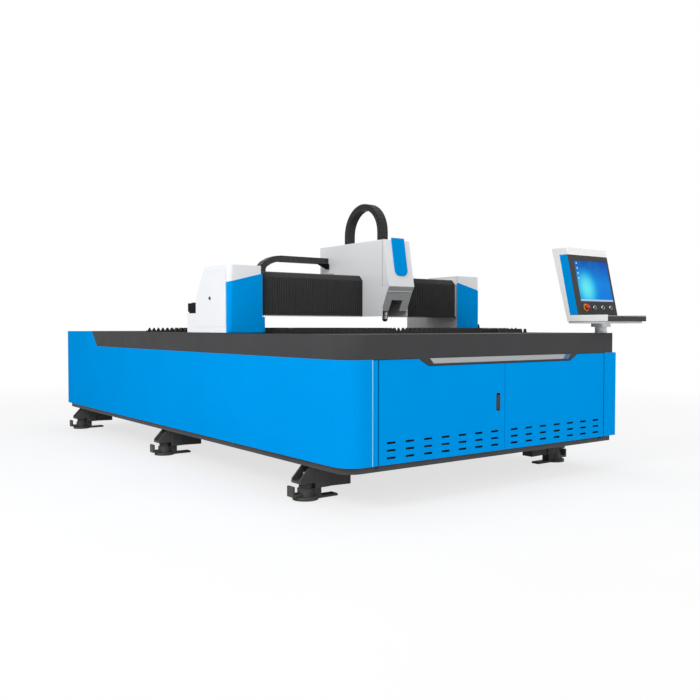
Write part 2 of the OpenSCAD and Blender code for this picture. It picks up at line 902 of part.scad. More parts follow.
// Leaf outline, set in by a margin, without the tongue's notch
module leaf_outline(x0, x1, margin) {
  difference() {
    translate([x0 + margin, panel_z + margin])
      square([x1 - x0 - 2 * margin, door_top - panel_z - 2 * margin]);
    tongue_outline(door_gap + margin);
  }
}

module leaf_vents(x0, x1) {
  middle = (x0 + x1) / 2;
  for (i = [0:vent_cols - 1], j = [0:vent_rows - 1])
    translate([middle + (i - (vent_cols - 1) / 2) * vent_pitch, vent_z + j * vent_row_pitch])
      rounded(vent_w, vent_h, 3);
}

// Folded door leaf with vents, and hinge pins at one edge
module leaf(x0, x1, pin_x) {
  pin_len = 10;
  difference() {
    along_y(yf, yf + door_depth) leaf_outline(x0, x1, 0);
    along_y(yf + sheet, yf + door_depth + cut) leaf_outline(x0, x1, sheet);
    along_y(yf - cut, yf + sheet + cut) leaf_vents(x0, x1);
  }
  block(pin_x - hinge_in + sheet, pin_x + hinge_in - sheet, yf + sheet, yf + door_depth - sheet,
        panel_z + sheet, panel_z + 3 * sheet);
  translate([pin_x, hinge_y, panel_z - pin_len]) cylinder(h = pin_len, d = hinge_d);
  translate([pin_x, hinge_y, door_top]) cylinder(h = pin_len, d = hinge_d);
}

module door_left() {
  x1 = door_m - door_gap / 2;
  color(blue) difference() {
    leaf(door_l, x1, door_l + hinge_in);
    along_y(yf - cut, yf + sheet + cut)
      translate([handle_x, handle_z + handle_h / 2]) rounded(handle_w, handle_h, 8);
  }
}

module door_right() {
  color(blue) leaf(door_m + door_gap / 2, door_r, door_r - hinge_in);
}

module handle_tray() {
  wall = 2;
  color(black) difference() {
    along_y(yf - 1, yf + handle_depth)
      translate([handle_x, handle_z + handle_h / 2]) rounded(handle_w, handle_h, 8);
    along_y(yf - 1 - cut, yf + handle_depth - wall)
      translate([handle_x, handle_z + handle_h / 2]) rounded(handle_w - 2 * wall, handle_h - 2 * wall, 6);
  }
}

module handle_lever() {
  boss = 9;
  pin_l = handle_w - 4.6;
  color(black) union() {
    block(handle_x - lever_w / 2, handle_x + lever_w / 2, yf - 1, yf - 1 + lever_t,
          handle_z + 8, lever_pivot_z);
    translate([handle_x - lever_w / 2, lever_pivot_y - lever_t / 2, lever_pivot_z])
      rotate([0, 90, 0]) cylinder(h = lever_w, d = boss);
    translate([handle_x - pin_l / 2, lever_pivot_y - lever_t / 2, lever_pivot_z])
      rotate([0, 90, 0]) cylinder(h = pin_l, d = 5);
  }
}

// Gantry

module gantry_columns() {
  tab_z = deck_z + 220;
  tab_h = 30;
  color(grey) both_sides() union() {
    block(saddle_in, saddle_out, saddle_y0, saddle_y1, saddle_z, saddle_z + saddle_t);
    difference() {
      block(beam_half, saddle_out - 3, column_y0, column_y0 + column_d, saddle_z + saddle_t, beam_top);
      block(beam_half + beam_wall, saddle_out - 3 - beam_wall, column_y0 - cut, column_y0 + column_d + cut,
            saddle_z + saddle_t + 30, beam_top - 10);
    }
    for (y = [column_y0 + 40, column_y0 + column_d - 120])
      block(saddle_out - 3, cover_out - sheet, y, y + 60, tab_z, tab_z + tab_h);
  }
}

module slider_blocks() {
  slider_w = rail_w + 40;
  foot_z = seat_z + rail_h / 2 - 2;
  color(steel) both_sides()
    for (y = [saddle_y0 + 30, saddle_y1 - 30 - block_len])
      difference() {
        block(rail_x - slider_w / 2, rail_x + slider_w / 2, y, y + block_len, foot_z, saddle_z);
        block(rail_x - rail_w / 2 - slide_gap, rail_x + rail_w / 2 + slide_gap, y - cut, y + block_len + cut,
              foot_z - cut, seat_z + rail_h + slide_gap);
      }
}

module beam() {
  color(grey) difference() {
    block(-beam_half, beam_half, beam_y, beam_y + beam_d, beam_z, beam_top);
    block(-beam_half - cut, beam_half + cut, beam_y + beam_wall, beam_y + beam_d - beam_wall,
          beam_z + beam_wall, beam_top - beam_wall);
  }
}

module beam_guides() {
  rack_z = (guide_low + guide_high) / 2;
  length = bellows_end - 10;
  color(steel) {
    for (z = [guide_low, guide_high])
      block(-length, length, beam_y - guide_d, beam_y, z, z + guide_h);
    block(-length, length, beam_y - guide_d + 6, beam_y, rack_z, rack_z + 25);
  }
}

// Side outline of an end cover, set in by a margin
module cover_outline(m) {
  slope_run = cover_slope / (cover_top - deck_z - cover_knee);
  shift = m * (sqrt(1 + slope_run * slope_run) - slope_run);
  polygon([
    [cover_y + m, cover_z - (m > 0 ? cut : 0)], [cover_y + m, cover_top - m],
    [cover_y + cover_flat - shift, cover_top - m],
    [knee_y - m * sqrt(1 + slope_run * slope_run), deck_z + cover_knee],
    [knee_y - m, deck_z + block_h - m], [block_y - m, deck_z + block_h - m],
    [block_y - m, cover_z - (m > 0 ? cut : 0)]
  ]);
}

// Plan of an end cover with its rounded outer front edge, set in by a margin
module cover_plan(m) {
  r = cover_r - m;
  difference() {
    translate([cover_in + m, cover_y + m]) square([cover_w - 2 * m, block_y - cover_y - 2 * m]);
    translate([cover_out - cover_r, cover_y + m - cut]) square([cover_r + cut, cover_r - m + cut]);
  }
  translate([cover_out - cover_r, cover_y + cover_r]) circle(r);
}

module cover_body(m) {
  intersection() {
    along_x(cover_in + m, cover_out - m) cover_outline(m);
    translate([0, 0, cover_z - cut]) linear_extrude(cover_top - cover_z + 2 * cut) cover_plan(m);
  }
}

// End cover on the right-hand side, open below and to the beam
module end_cover() {
  difference() {
    cover_body(0);
    cover_body(sheet);
    block(cover_in - cut, cover_in + sheet + cut, beam_y - 2, beam_y + beam_d + 2, beam_z - 2, beam_top + 2);
  }
}

module cover_right() {
  color(white) end_cover();
}

module cover_left() {
  color(white) mirror([1, 0, 0]) end_cover();
}

// Blue skin over the lower front of an end cover and round its outer edge
module cover_fronts() {
  color(blue) both_sides() intersection() {
    translate([0, 0, cover_z]) linear_extrude(cover_h) {
      translate([cover_in - skin_lip, cover_front]) square([cover_w - cover_r + skin_lip, skin_t]);
      difference() {
        translate([cover_out - cover_r, cover_y + cover_r]) circle(cover_r + skin_t);
        translate([cover_out - cover_r, cover_y + cover_r]) circle(cover_r);
        translate([cover_in - cover_r, cover_front - cut]) square([cover_w, 4 * cover_r]);
        translate([cover_in, cover_y + cover_r]) square([2 * cover_w, 4 * cover_r]);
      }
    }
    along_y(cover_front - cut, cover_front + 3 * cover_r) polygon([
      [cover_in - skin_lip, cover_z], [cover_out + skin_t, cover_z], [cover_out + skin_t, deck_z + paint_out],
      [cover_in - skin_lip, deck_z + paint_in]
    ]);
  }
}

module service_panels() {
  edge = 38;
  lock_d = 26;
  lock_z = deck_z + 233;
  lock_y = cover_y + cover_flat * 0.72;
  color(white) both_sides() difference() {
    union() {
      along_x(cover_out, cover_out + skin_t) polygon([
        [cover_y + edge, cover_z + edge], [cover_y + edge, cover_top - edge],
        [cover_y + cover_flat - edge / 2, cover_top - edge],
        [knee_y - edge, deck_z + cover_knee], [knee_y - edge, cover_z + edge]
      ]);
      translate([cover_out + skin_t, lock_y, lock_z]) rotate([0, 90, 0]) cylinder(h = 5, d = lock_d);
    }
    block(cover_out + skin_t + 2, cover_out + skin_t + 8, lock_y - 2, lock_y + 2, lock_z - 9, lock_z + 9);
  }
}

module drive_motors() {
  motor_w = 200;
  motor_h = 72;
  flange = 12;
  motor_z = deck_z + block_h;
  x0 = cover_out - 4 - motor_w;
  color(black) both_sides() union() {
    block(x0 + 8, x0 + motor_w - 8, knee_y + 4, block_y - 4, motor_z, motor_z + flange);
    block(x0, x0 + motor_w, knee_y + 2, block_y, motor_z + flange, motor_z + motor_h);
  }
}

// Section of the bellows, set in from the outside by a margin
module bellows_section(m) {
  inner = bellows_in;
  lean = tan(22.5);
  back = beam_y + beam_d;
  polygon([
    [gy + m, bellows_z], [gy + m, bellows_top - bellows_chamfer - m * lean],
    [gy + bellows_chamfer + m * lean, bellows_top - m], [back, bellows_top - m],
    [back, bellows_top - inner], [gy + bellows_chamfer + inner * lean, bellows_top - inner],
    [gy + inner, bellows_top - bellows_chamfer - inner * lean], [gy + inner, bellows_z]
  ]);
}

// Bellows along X with square folds between two ends
module bellows(x0, x1) {
  count = floor((x1 - x0) / fold_pitch);
  pitch = (x1 - x0) / count;
  color(black) union() {
    along_x(x0, x1) bellows_section(fold_d);
    for (i = [0:count - 1])
      along_x(x0 + i * pitch, x0 + (i + 0.5) * pitch) bellows_section(0);
  }
}

module bellows_left() {
  bellows(-bellows_end, head_l - 2);
}

module bellows_right() {
  bellows(head_r + 2, bellows_end);
}

// Cable chains

// Straight chain along +X from the origin, its outside at Z from 0 to chain_t
module link_run(length) {
  count = floor(length / link_pitch);
  pitch = length / count;
  union() {
    translate([0, core_in, core_in]) cube([length, chain_w - 2 * core_in, chain_t - 2 * core_in]);
    for (i = [0:count - 1])
      translate([i * pitch + link_gap / 2, 0, 0]) cube([pitch - link_gap, chain_w, chain_t]);
  }
}

// Curved chain about the Z axis between two angles, from the outer radius inwards
module link_arc(r, a0, a1) {
  count = max(1, floor((a1 - a0) * PI / 180 * r / link_pitch));
  step = (a1 - a0) / count;
  gap_a = link_gap / r * 180 / PI;
  union() {
    rotate([0, 0, a0]) rotate_extrude(angle = a1 - a0)
      translate([r - chain_t + core_in, core_in]) square([chain_t - 2 * core_in, chain_w - 2 * core_in]);
    for (i = [0:count - 1])
      rotate([0, 0, a0 + i * step + gap_a / 2]) rotate_extrude(angle = step - gap_a)
        translate([r - chain_t, 0]) square([chain_t, chain_w]);
  }
}

module chain_tray() {
  bend_run = 420;
  x0 = bend_x - bend_r - bend_run;
  x1 = anchor_x + 40;
  y0 = chain_y - tray_gap - tray_wall;
  y1 = chain_y + chain_w + tray_gap + tray_wall;
  floor_z = chain_low - chain_gap;
  hanger_w = 60;
  hanger_h = 36;
  clamp_l = 16;
  color(dark) union() {
    block(x0, x1, y0, y1, floor_z - tray_wall, floor_z);
    block(x0, x1, y0, y0 + tray_wall, floor_z, floor_z + tray_lip);
    block(x0, x1, y1 - tray_wall, y1, floor_z, floor_z + tray_lip);
    block(anchor_x, anchor_x + clamp_l, chain_y, chain_y + chain_w, floor_z, chain_low + chain_t);
    for (x = [-0.8 * beam_half, -0.3 * beam_half, 0])
      block(x, x + hanger_w, beam_y + beam_d, y1, floor_z - tray_wall - hanger_h, floor_z - tray_wall);
  }
}

module chain_lower_run() {
  color(black) translate([bend_x + chain_gap, chain_y, chain_low]) link_run(anchor_x - bend_x - chain_gap);
}

module chain_bend() {
  split_a = chain_gap / bend_r * 180 / PI;
  color(black) translate([0, chain_y + chain_w, 0]) rotate([90, 0, 0]) {
    translate([-sweep_x, sweep_z, 0]) link_arc(sweep_r, 90, 90 + sweep_a);
    translate([bend_x, bend_z, 0]) link_arc(bend_r, 90 + sweep_a + split_a, 270);
  }
}

module chain_upper_run() {
  color(black) translate([chain_gap - sweep_x, chain_y, chain_top - chain_t])
    link_run(head_l + sweep_x - chain_gap);
}

module chain_bracket() {
  reach = 105;
  drop = 42;
  plate = 8;
  clamp_l = 18;
  web_y = chain_y - 12;
  z1 = chain_top - chain_t;
  color(grey) union() {
    block(head_l - clamp_l, head_l, web_y + plate, chain_y + chain_w, z1 - plate, z1);
    along_y(web_y, web_y + plate) polygon([
      [head_l - reach, z1], [head_l, z1], [head_l, z1 - drop], [head_l - 30, z1 - drop], [head_l - reach, z1 - plate]
    ]);
  }
}

// Chain arched over the head: the rear leg stands on the cover, the front leg goes into it
module arch_chain() {
  leg_in = 73;
  rear_leg = arch_z - head_top;
  color(black) translate([head_x - chain_w / 2, 0, 0]) {
    translate([0, arch_y, arch_z]) rotate([90, 0, 90]) link_arc(arch_r, 0, 180);
    translate([0, arch_y + arch_r - chain_t, head_top]) arch_leg(rear_leg);
    translate([0, arch_y - arch_r, head_top - leg_in]) arch_leg(rear_leg + leg_in);
  }
}

// Upright stretch of the arched chain from the origin
module arch_leg(length) {
  mirror([1, 0, 0]) rotate([0, -90, 0]) rotate([90, 0, 0]) mirror([0, 0, 1]) link_run(length);
}

// Carriage

module carriage_plate() {
  plate_z0 = beam_z - 5;
  length = 70;
  spread = 68;
  lip = 15;
  color(grey) union() {
    block(head_l + 7, head_r - 7, carriage_y, carriage_y + carriage_t, plate_z0, shelf_z);
    block(head_l + sheet, head_r - sheet, carriage_y + carriage_t, head_y1, shelf_z - carriage_shelf_t, shelf_z);
    for (sx = [-1, 1])
      block(head_x + sx * lift_rail_x - lift_rail_w / 2, head_x + sx * lift_rail_x + lift_rail_w / 2,
            carriage_y - lift_rail_d, carriage_y, lift_z0 - 30, shelf_z);
    for (z = [guide_low, guide_high], sx = [-1, 1])
      difference() {
        block(head_x + sx * spread - length / 2, head_x + sx * spread + length / 2,
              carriage_y + carriage_t, beam_y - 4, z - lip, z + guide_h + lip);
        block(head_x + sx * spread - length, head_x + sx * spread + length, beam_y - guide_d - slide_gap,
              beam_y, z - slide_gap, z + guide_h + slide_gap);
      }
  }
}

// Side outline of the head cover: tall ahead of the beam, with a skirt over the bellows' top
module head_side() {
  wall_y = beam_y - guide_d - 7;
  skirt_y = beam_y + beam_d;
  skirt_z = beam_top + 8;
  polygon([
    [seam_y, head_top], [head_y1, head_top], [head_y1, shelf_z], [skirt_y, shelf_z], [skirt_y, skirt_z],
    [wall_y, skirt_z], [wall_y, head_z], [seam_y, head_z]
  ]);
}

module head_cover() {
  hole = 4;
  color(white) difference() {
    union() {
      for (x = [head_l, head_r - sheet]) along_x(x, x + sheet) head_side();
      block(head_l + sheet, head_r - sheet, seam_y, head_y1, head_top - sheet, head_top);
      block(head_l + sheet, head_r - sheet, head_y1 - sheet, head_y1, shelf_z, head_top - sheet);
    }
    block(head_x - chain_w / 2 - hole, head_x + chain_w / 2 + hole, arch_y - arch_r - hole,
          arch_y - arch_r + chain_t + hole, head_top - sheet - cut, head_top + cut);
  }
}

module head_front() {
  color(white) difference() {
    along_x(head_l, head_r) polygon([
      [seam_y, head_top], [brow_y, head_top], [chin_y, chin_z], [seam_y, chin_z]
    ]);
    along_x(head_l + sheet, head_r - sheet) polygon([
      [seam_y + cut, head_top - sheet], [brow_y + sheet, head_top - sheet],
      [chin_y + sheet, chin_z - cut], [seam_y + cut, chin_z - cut]
    ]);
  }
}

module head_badge() {
  badge_t = 8;
  badge_r = 42;
  over_top = 13;
  shift = 7;
  color(blue) translate([head_x + shift, brow_y, head_top]) rotate([-brow_tilt, 0, 0]) along_y(-badge_t, 0) union() {
    translate([0, over_top - badge_l / 2]) rounded(badge_w, badge_l, badge_r);
    translate([-badge_w / 2, over_top - badge_l / 2]) square([badge_w, badge_l / 2]);
  }
}

module head_guard() {
  cheek_z = jaw_z + (guard_z - jaw_z) * (seam_y - jaw_y) / (guard_y - jaw_y);
  color(grey) union() {
    difference() {
      along_x(head_l + sheet, head_r - sheet) polygon([
        [chin_y, chin_z], [jaw_y, jaw_z], [guard_y, guard_z], [guard_y + guard_t, guard_z],
        [jaw_y + guard_t, jaw_z + 4], [chin_y + guard_t, chin_z]
      ]);
      block(head_x - guard_gap / 2, head_x + guard_gap / 2, chin_y - cut, seam_y + 2 * guard_gap,
            guard_z - cut, deck_z + guard_top);
    }
    for (x = [head_l, head_r - sheet])
      along_x(x, x + sheet) polygon([
        [seam_y, chin_z], [chin_y, chin_z], [jaw_y, jaw_z], [seam_y, cheek_z]
      ]);
  }
}

// Servo motor standing on the carriage's shelf: flange, body, rear cap
module motor(x, y, side, height) {
  translate([x, y, shelf_z]) union() {
    translate([-side / 2, -side / 2, 0]) cube([side, side, 12]);
    translate([4 - side / 2, 4 - side / 2, 12]) cube([side - 8, side - 8, height - 40]);
    translate([0, 0, height - 28]) cylinder(h = 28, d = side - 14);
  }
}

module carriage_motors() {
  color(black) {
    motor(head_x, gy + 60, 80, 150);
    motor(head_x, gy + 330, 110, 175);
  }
}

// Lifting cutting head

module lift_slide() {
  color(steel) difference() {
    block(head_x - lift_w / 2, head_x + lift_w / 2, lift_y0, lift_y1, lift_z0, lift_z1);
    for (sx = [-1, 1])
      block(head_x + sx * lift_rail_x - lift_rail_w / 2 - slide_gap,
            head_x + sx * lift_rail_x + lift_rail_w / 2 + slide_gap,
            carriage_y - lift_rail_d - slide_gap, lift_y1 + cut, lift_z0 - cut, lift_z1 + cut);
  }
}

module cutting_head() {
  neck_z = nozzle_z + 66;
  bracket = 35;
  color(grey) union() {
    translate([head_x, nozzle_y, 0]) {
      translate([0, 0, neck_z]) cylinder(h = 60, d = 58);
      translate([0, 0, neck_z + 60]) cylinder(h = 190, d = 86);
      translate([0, 0, neck_z + 250]) cylinder(h = 80, d = 66);
      translate([0, 0, neck_z + 330]) cylinder(h = 40, d = 32);
    }
    block(head_x - bracket, head_x + bracket, nozzle_y + 20, lift_y0, neck_z + 90, neck_z + 230);
  }
}

module nozzle() {
  bore = 1.5;
  color([0.7, 0.6, 0.45]) translate([head_x, nozzle_y, nozzle_z]) rotate_extrude() polygon([
    [bore, 0], [8, 0], [14, 3], [18, 9], [21, 20], [21, 42], [26, 44], [26, 66], [bore, 66]
  ]);
}

// Console

module console_base() {
  collar = 92;
  bore_h = 20;
  color(grey) translate([post_x, post_y, 0]) union() {
    block(-console_w / 2 + 10, console_w / 2 - 10, 18 - tray_d + 25, 110, base_z, tray_z);
    difference() {
      block(-collar / 2, collar / 2, -collar / 2, collar / 2, post_top + collar_gap, base_z);
      translate([0, 0, post_top]) cylinder(h = bore_h, d = pivot_d + 0.16);
    }
  }
}

// Lean of the panel's slope at a height over the panel's foot
function lean(h) = h * tan(panel_tilt);
panel_rise = panel_l * cos(panel_tilt);
hood_rise = (panel_l + hood_h) * cos(panel_tilt);

// Outline in Y and Z of a slab that leans with the panel, from the post
module leaning(y0, y1, h0, h1) {
  polygon([
    [y0 + lean(h0), panel_z0 + h0], [y1 + lean(h0), panel_z0 + h0],
    [y1 + lean(h1), panel_z0 + h1], [y0 + lean(h1), panel_z0 + h1]
  ]);
}

module console_shell() {
  front = panel_y0 - post_y;
  box_y = front + panel_t + box_d;
  half = console_w / 2;
  foot = tray_z - panel_z0;
  foot_y = box_y + shell_d + lean(foot) - shell_taper;
  top_y = box_y + shell_d + lean(hood_rise);
  slope = (top_y - foot_y) / (hood_rise - foot);
  low_y = foot_y + slope * (sheet - foot) - sheet;
  high_y = foot_y + slope * (panel_rise - foot) - sheet;
  color(white) translate([post_x, post_y, 0]) union() {
    difference() {
      along_x(-half, half) polygon([
        [front, tray_z], [foot_y, tray_z], [top_y, panel_z0 + hood_rise],
        [front + lean(hood_rise), panel_z0 + hood_rise], [front + lean(panel_rise), panel_z0 + panel_rise],
        [box_y + lean(panel_rise), panel_z0 + panel_rise], [box_y, panel_z0], [front, panel_z0]
      ]);
      along_x(-half + sheet, half - sheet) polygon([
        [box_y + lean(sheet) - cut, panel_z0 + sheet], [low_y, panel_z0 + sheet],
        [high_y, panel_z0 + panel_rise], [box_y + lean(panel_rise) - cut, panel_z0 + panel_rise]
      ]);
    }
    for (x = [-half, half - cheek_t]) block(x, x + cheek_t, front - tray_d, front, tray_z, panel_z0);
  }
}

module console_box() {
  front = panel_y0 - post_y + panel_t;
  half = console_w / 2;
  color(blue) translate([post_x, post_y, 0]) difference() {
    along_x(-half, half) leaning(front, front + box_d, 0, panel_rise);
    along_x(-half + sheet, half - sheet) leaning(front - cut, front + box_d + cut, sheet, panel_rise - sheet);
  }
}

// Children in the panel's own plane: X across, Z up the slope, Y into the console
module on_panel() {
  translate([post_x, panel_y0, panel_z0]) rotate([-panel_tilt, 0, 0]) children();
}

// Round hole or stem through the panel at a control's place
module control(x, d, y0, y1) {
  translate([x, y1, controls_z]) rotate([90, 0, 0]) cylinder(h = y1 - y0, d = d);
}

module console_panel() {
  ring = 3;
  depth = panel_t / cos(panel_tilt);
  color(dark) translate([post_x, post_y, 0]) difference() {
    union() {
      along_x(-console_w / 2, console_w / 2) leaning(panel_y0 - post_y, panel_y0 - post_y + panel_t, 0, panel_rise);
      translate([-post_x, -post_y, 0]) on_panel() {
        control(estop_x, estop_d + 12, -ring, 1);
        for (i = [0:2]) control(button_x + i * button_pitch, button_d + 8, -ring, 1);
      }
    }
    translate([-post_x, -post_y, 0]) on_panel() {
      translate([screen_x - screen_w / 2, -cut, screen_z]) cube([screen_w, cut + 4, screen_h]);
      translate([screen_x - screen_w / 2 + rabbet, -cut, screen_z + rabbet])
        cube([screen_w - 2 * rabbet, 4 * depth, screen_h - 2 * rabbet]);
      control(estop_x, button_d + 0.6, -ring - cut, 2 * depth);
      for (i = [0:2]) control(button_x + i * button_pitch, button_d + 0.6, -ring - cut, 2 * depth);
    }
  }
}

module screen() {
  color([0.05, 0.45, 0.85]) on_panel()
    translate([screen_x - screen_w / 2 + slide_gap, 1, screen_z + slide_gap])
      cube([screen_w - 2 * slide_gap, 3, screen_h - 2 * slide_gap]);
}

module keyboard_tray() {
  front = panel_y0 - post_y - tray_d - 5;
  back = panel_y0 - post_y;
  half = console_w / 2 - cheek_t;
  rim = 12;
  color(dark) translate([post_x, post_y, 0]) difference() {
    block(-half, half, front, back, tray_z, tray_z + tray_t);
    block(-half + rim, half - rim, front + rim, back - rim, tray_z + tray_t - 8, tray_z + tray_t + cut);
  }
}

module emergency_stop() {
  color("red") on_panel() union() {
    control(estop_x, button_d, -10, 24);
    control(estop_x, estop_d, -26, -10);
  }
}

module push_button(i) {
  color("silver") on_panel() control(button_x + i * button_pitch, button_d, -8, 22);
}

base_frame();
side_beams();
frame_posts();
cross_members();
side_panel_left();
side_panel_right();
rear_panel();
guard_band();
trim_bar();
end_decks();
slat_frame();
slats();
spark_pan();
guide_rails();
foot_brackets();
foot_pads();
levelling_bolts();
door_frame();
cabinets();
console_post();
door_left();
door_right();
handle_tray();
handle_lever();
gantry_columns();
slider_blocks();
beam();
beam_guides();
cover_left();
cover_right();
cover_fronts();
service_panels();
drive_motors();
bellows_left();
bellows_right();
chain_tray();
chain_lower_run();
chain_bend();
carriage_plate();
chain_upper_run();
chain_bracket();
head_cover();
head_front();
head_badge();
head_guard();
arch_chain();
carriage_motors();
lift_slide();
cutting_head();
nozzle();
console_base();
console_shell();
console_box();
console_panel();
screen();
keyboard_tray();
emergency_stop();
push_button(0);  // push_button_1
push_button(1);  // push_button_2
push_button(2);  // push_button_3
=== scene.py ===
import math

import bpy
from mathutils import Matrix, Vector


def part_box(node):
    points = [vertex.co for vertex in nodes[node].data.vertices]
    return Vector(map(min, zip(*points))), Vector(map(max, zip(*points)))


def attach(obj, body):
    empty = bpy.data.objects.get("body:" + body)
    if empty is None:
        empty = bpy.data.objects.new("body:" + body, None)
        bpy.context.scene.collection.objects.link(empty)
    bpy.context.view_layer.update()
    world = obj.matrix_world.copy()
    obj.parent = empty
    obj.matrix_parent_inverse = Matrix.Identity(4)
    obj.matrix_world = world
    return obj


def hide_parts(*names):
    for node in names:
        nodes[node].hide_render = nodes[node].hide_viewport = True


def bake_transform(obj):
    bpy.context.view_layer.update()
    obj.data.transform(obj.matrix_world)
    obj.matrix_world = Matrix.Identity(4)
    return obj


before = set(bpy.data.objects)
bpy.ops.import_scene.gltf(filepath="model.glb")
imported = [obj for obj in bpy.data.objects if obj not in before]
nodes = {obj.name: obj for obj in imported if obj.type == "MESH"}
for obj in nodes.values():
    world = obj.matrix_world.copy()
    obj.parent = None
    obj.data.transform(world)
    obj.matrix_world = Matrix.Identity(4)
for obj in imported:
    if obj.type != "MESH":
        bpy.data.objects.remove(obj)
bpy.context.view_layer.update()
scene = bpy.context.scene
scene.view_settings.view_transform = "Standard"


# Finishes


def lin(red, green, blue):
    """Colour from screen values 0 to 255 as linear light."""
    parts = []
    for value in (red, green, blue):
        value = value / 255
        parts.append(value / 12.92 if value <= 0.04045 else ((value + 0.055) / 1.055) ** 2.4)
    return (*parts, 1.0)


def shade(colour, factor):
    """Colour made lighter or darker by a factor."""
    return (*[min(1.0, c * factor) for c in colour[:3]], 1.0)


class Finish:
    """A material under construction, with its nodes laid out from object coordinates."""

    def __init__(self, name):
        self.material = bpy.data.materials.new(name)
        self.material.use_nodes = True
        self.tree = self.material.node_tree
        self.shader = self.tree.nodes["Principled BSDF"]
        self.place = self.add("ShaderNodeTexCoord").outputs["Object"]

    def add(self, kind, **settings):
        node = self.tree.nodes.new(kind)
        for key, value in settings.items():
            setattr(node, key, value)
        return node

    def link(self, source, target):
        self.tree.links.new(source, target)

    def noise(self, scale, detail=3.0, rough=0.55, stretch=None):
        texture = self.add("ShaderNodeTexNoise")
        texture.inputs["Scale"].default_value = scale
        texture.inputs["Detail"].default_value = detail
        texture.inputs["Roughness"].default_value = rough
        source = self.place
        if stretch:
            mapping = self.add("ShaderNodeMapping")
            mapping.inputs["Scale"].default_value = stretch
            self.link(source, mapping.inputs["Vector"])
            source = mapping.outputs["Vector"]
        self.link(source, texture.inputs["Vector"])
        return texture.outputs["Fac"]

    def ramp(self, source, *stops):
        ramp = self.add("ShaderNodeValToRGB")
        elements = ramp.color_ramp.elements
        while len(elements) < len(stops):
            elements.new(0.5)
        for element, (at, colour) in zip(elements, stops):
            element.position = at
            element.color = colour
        self.link(source, ramp.inputs["Fac"])
        return ramp.outputs["Color"]

    def spread(self, source, low, high, start=0.3, end=0.7):
        spread = self.add("ShaderNodeMapRange")
        spread.inputs["From Min"].default_value = start
        spread.inputs["From Max"].default_value = end
        spread.inputs["To Min"].default_value = low
        spread.inputs["To Max"].default_value = high
        self.link(source, spread.inputs["Value"])
        return spread.outputs["Result"]

    def bump(self, source, strength, distance):
        bump = self.add("ShaderNodeBump")
        bump.inputs["Strength"].default_value = strength
        bump.inputs["Distance"].default_value = distance
        self.link(source, bump.inputs["Height"])
        self.link(bump.outputs["Normal"], self.shader.inputs["Normal"])

    def part(self, source, axis):
        parts = self.add("ShaderNodeSeparateXYZ")
        self.link(source, parts.inputs[0])
        return parts.outputs[axis]

    def over(self, tone, share, colour):
        """Lays a second colour over a tone by a share."""
        mix = self.add("ShaderNodeMixRGB")
        mix.inputs[2].default_value = colour
        self.link(share, mix.inputs[0])
        self.link(tone, mix.inputs[1])
        return mix.outputs[0]

    def base(self, source):
        self.link(source, self.shader.inputs["Base Color"])

    def rough(self, source):
        self.link(source, self.shader.inputs["Roughness"])


def painted(name, colour, rough, vary=0.06, peel=420.0, relief=0.12, coat=0.0, gloss=0.5, below=None,
            sides=None):
    """Powder-coated or sprayed sheet: faint cloudy tone, fine orange peel, uneven gloss.
    A second colour below a height: (height, colour), or on the faces that look along X."""
    made = Finish(name)
    made.shader.inputs["Coat Weight"].default_value = coat
    made.shader.inputs["Coat Roughness"].default_value = 0.15
    made.shader.inputs["Specular IOR Level"].default_value = gloss
    cloud = made.noise(2.4, 4.0)
    tone = made.ramp(cloud, (0.3, shade(colour, 1 - vary)), (0.7, shade(colour, 1 + vary)))
    if below:
        height, lower = below
        share = made.spread(made.part(made.place, "Z"), 1.0, 0.0, height - 0.0005, height)
        tone = made.over(tone, share, lower)
    if sides:
        facing = made.add("ShaderNodeMath", operation="ABSOLUTE")
        made.link(made.part(made.add("ShaderNodeTexCoord").outputs["Normal"], "X"), facing.inputs[0])
        tone = made.over(tone, made.spread(facing.outputs[0], 0.0, 1.0, 0.85, 0.9), sides)
    made.base(tone)
    made.rough(made.spread(made.noise(9.0, 5.0), rough - 0.05, rough + 0.06))
    made.bump(made.noise(peel, 2.0), relief, 0.0006)
    return made.material


def ground_steel(name, colour, rough, along=(60.0, 1.0, 60.0), metal=1.0):
    """Ground or drawn steel with fine lines along one axis and some dulling."""
    made = Finish(name)
    made.shader.inputs["Metallic"].default_value = metal
    lines = made.noise(14.0, 6.0, 0.7, along)
    made.base(made.ramp(lines, (0.25, shade(colour, 0.82)), (0.75, shade(colour, 1.1))))
    made.rough(made.spread(made.noise(30.0, 4.0), rough - 0.08, rough + 0.1))
    made.bump(lines, 0.1, 0.0004)
    return made.material


def moulded(name, colour, rough, grain=700.0, relief=0.15, vary=0.08, gloss=0.5):
    """Moulded plastic or rubber with a fine eroded grain."""
    made = Finish(name)
    made.shader.inputs["Specular IOR Level"].default_value = gloss
    cloud = made.noise(18.0, 4.0)
    made.base(made.ramp(cloud, (0.3, shade(colour, 1 - vary)), (0.7, shade(colour, 1 + vary))))
    made.rough(made.spread(made.noise(40.0, 3.0), rough - 0.06, rough + 0.06))
    made.bump(made.noise(grain, 2.0), relief, 0.0005)
    return made.material


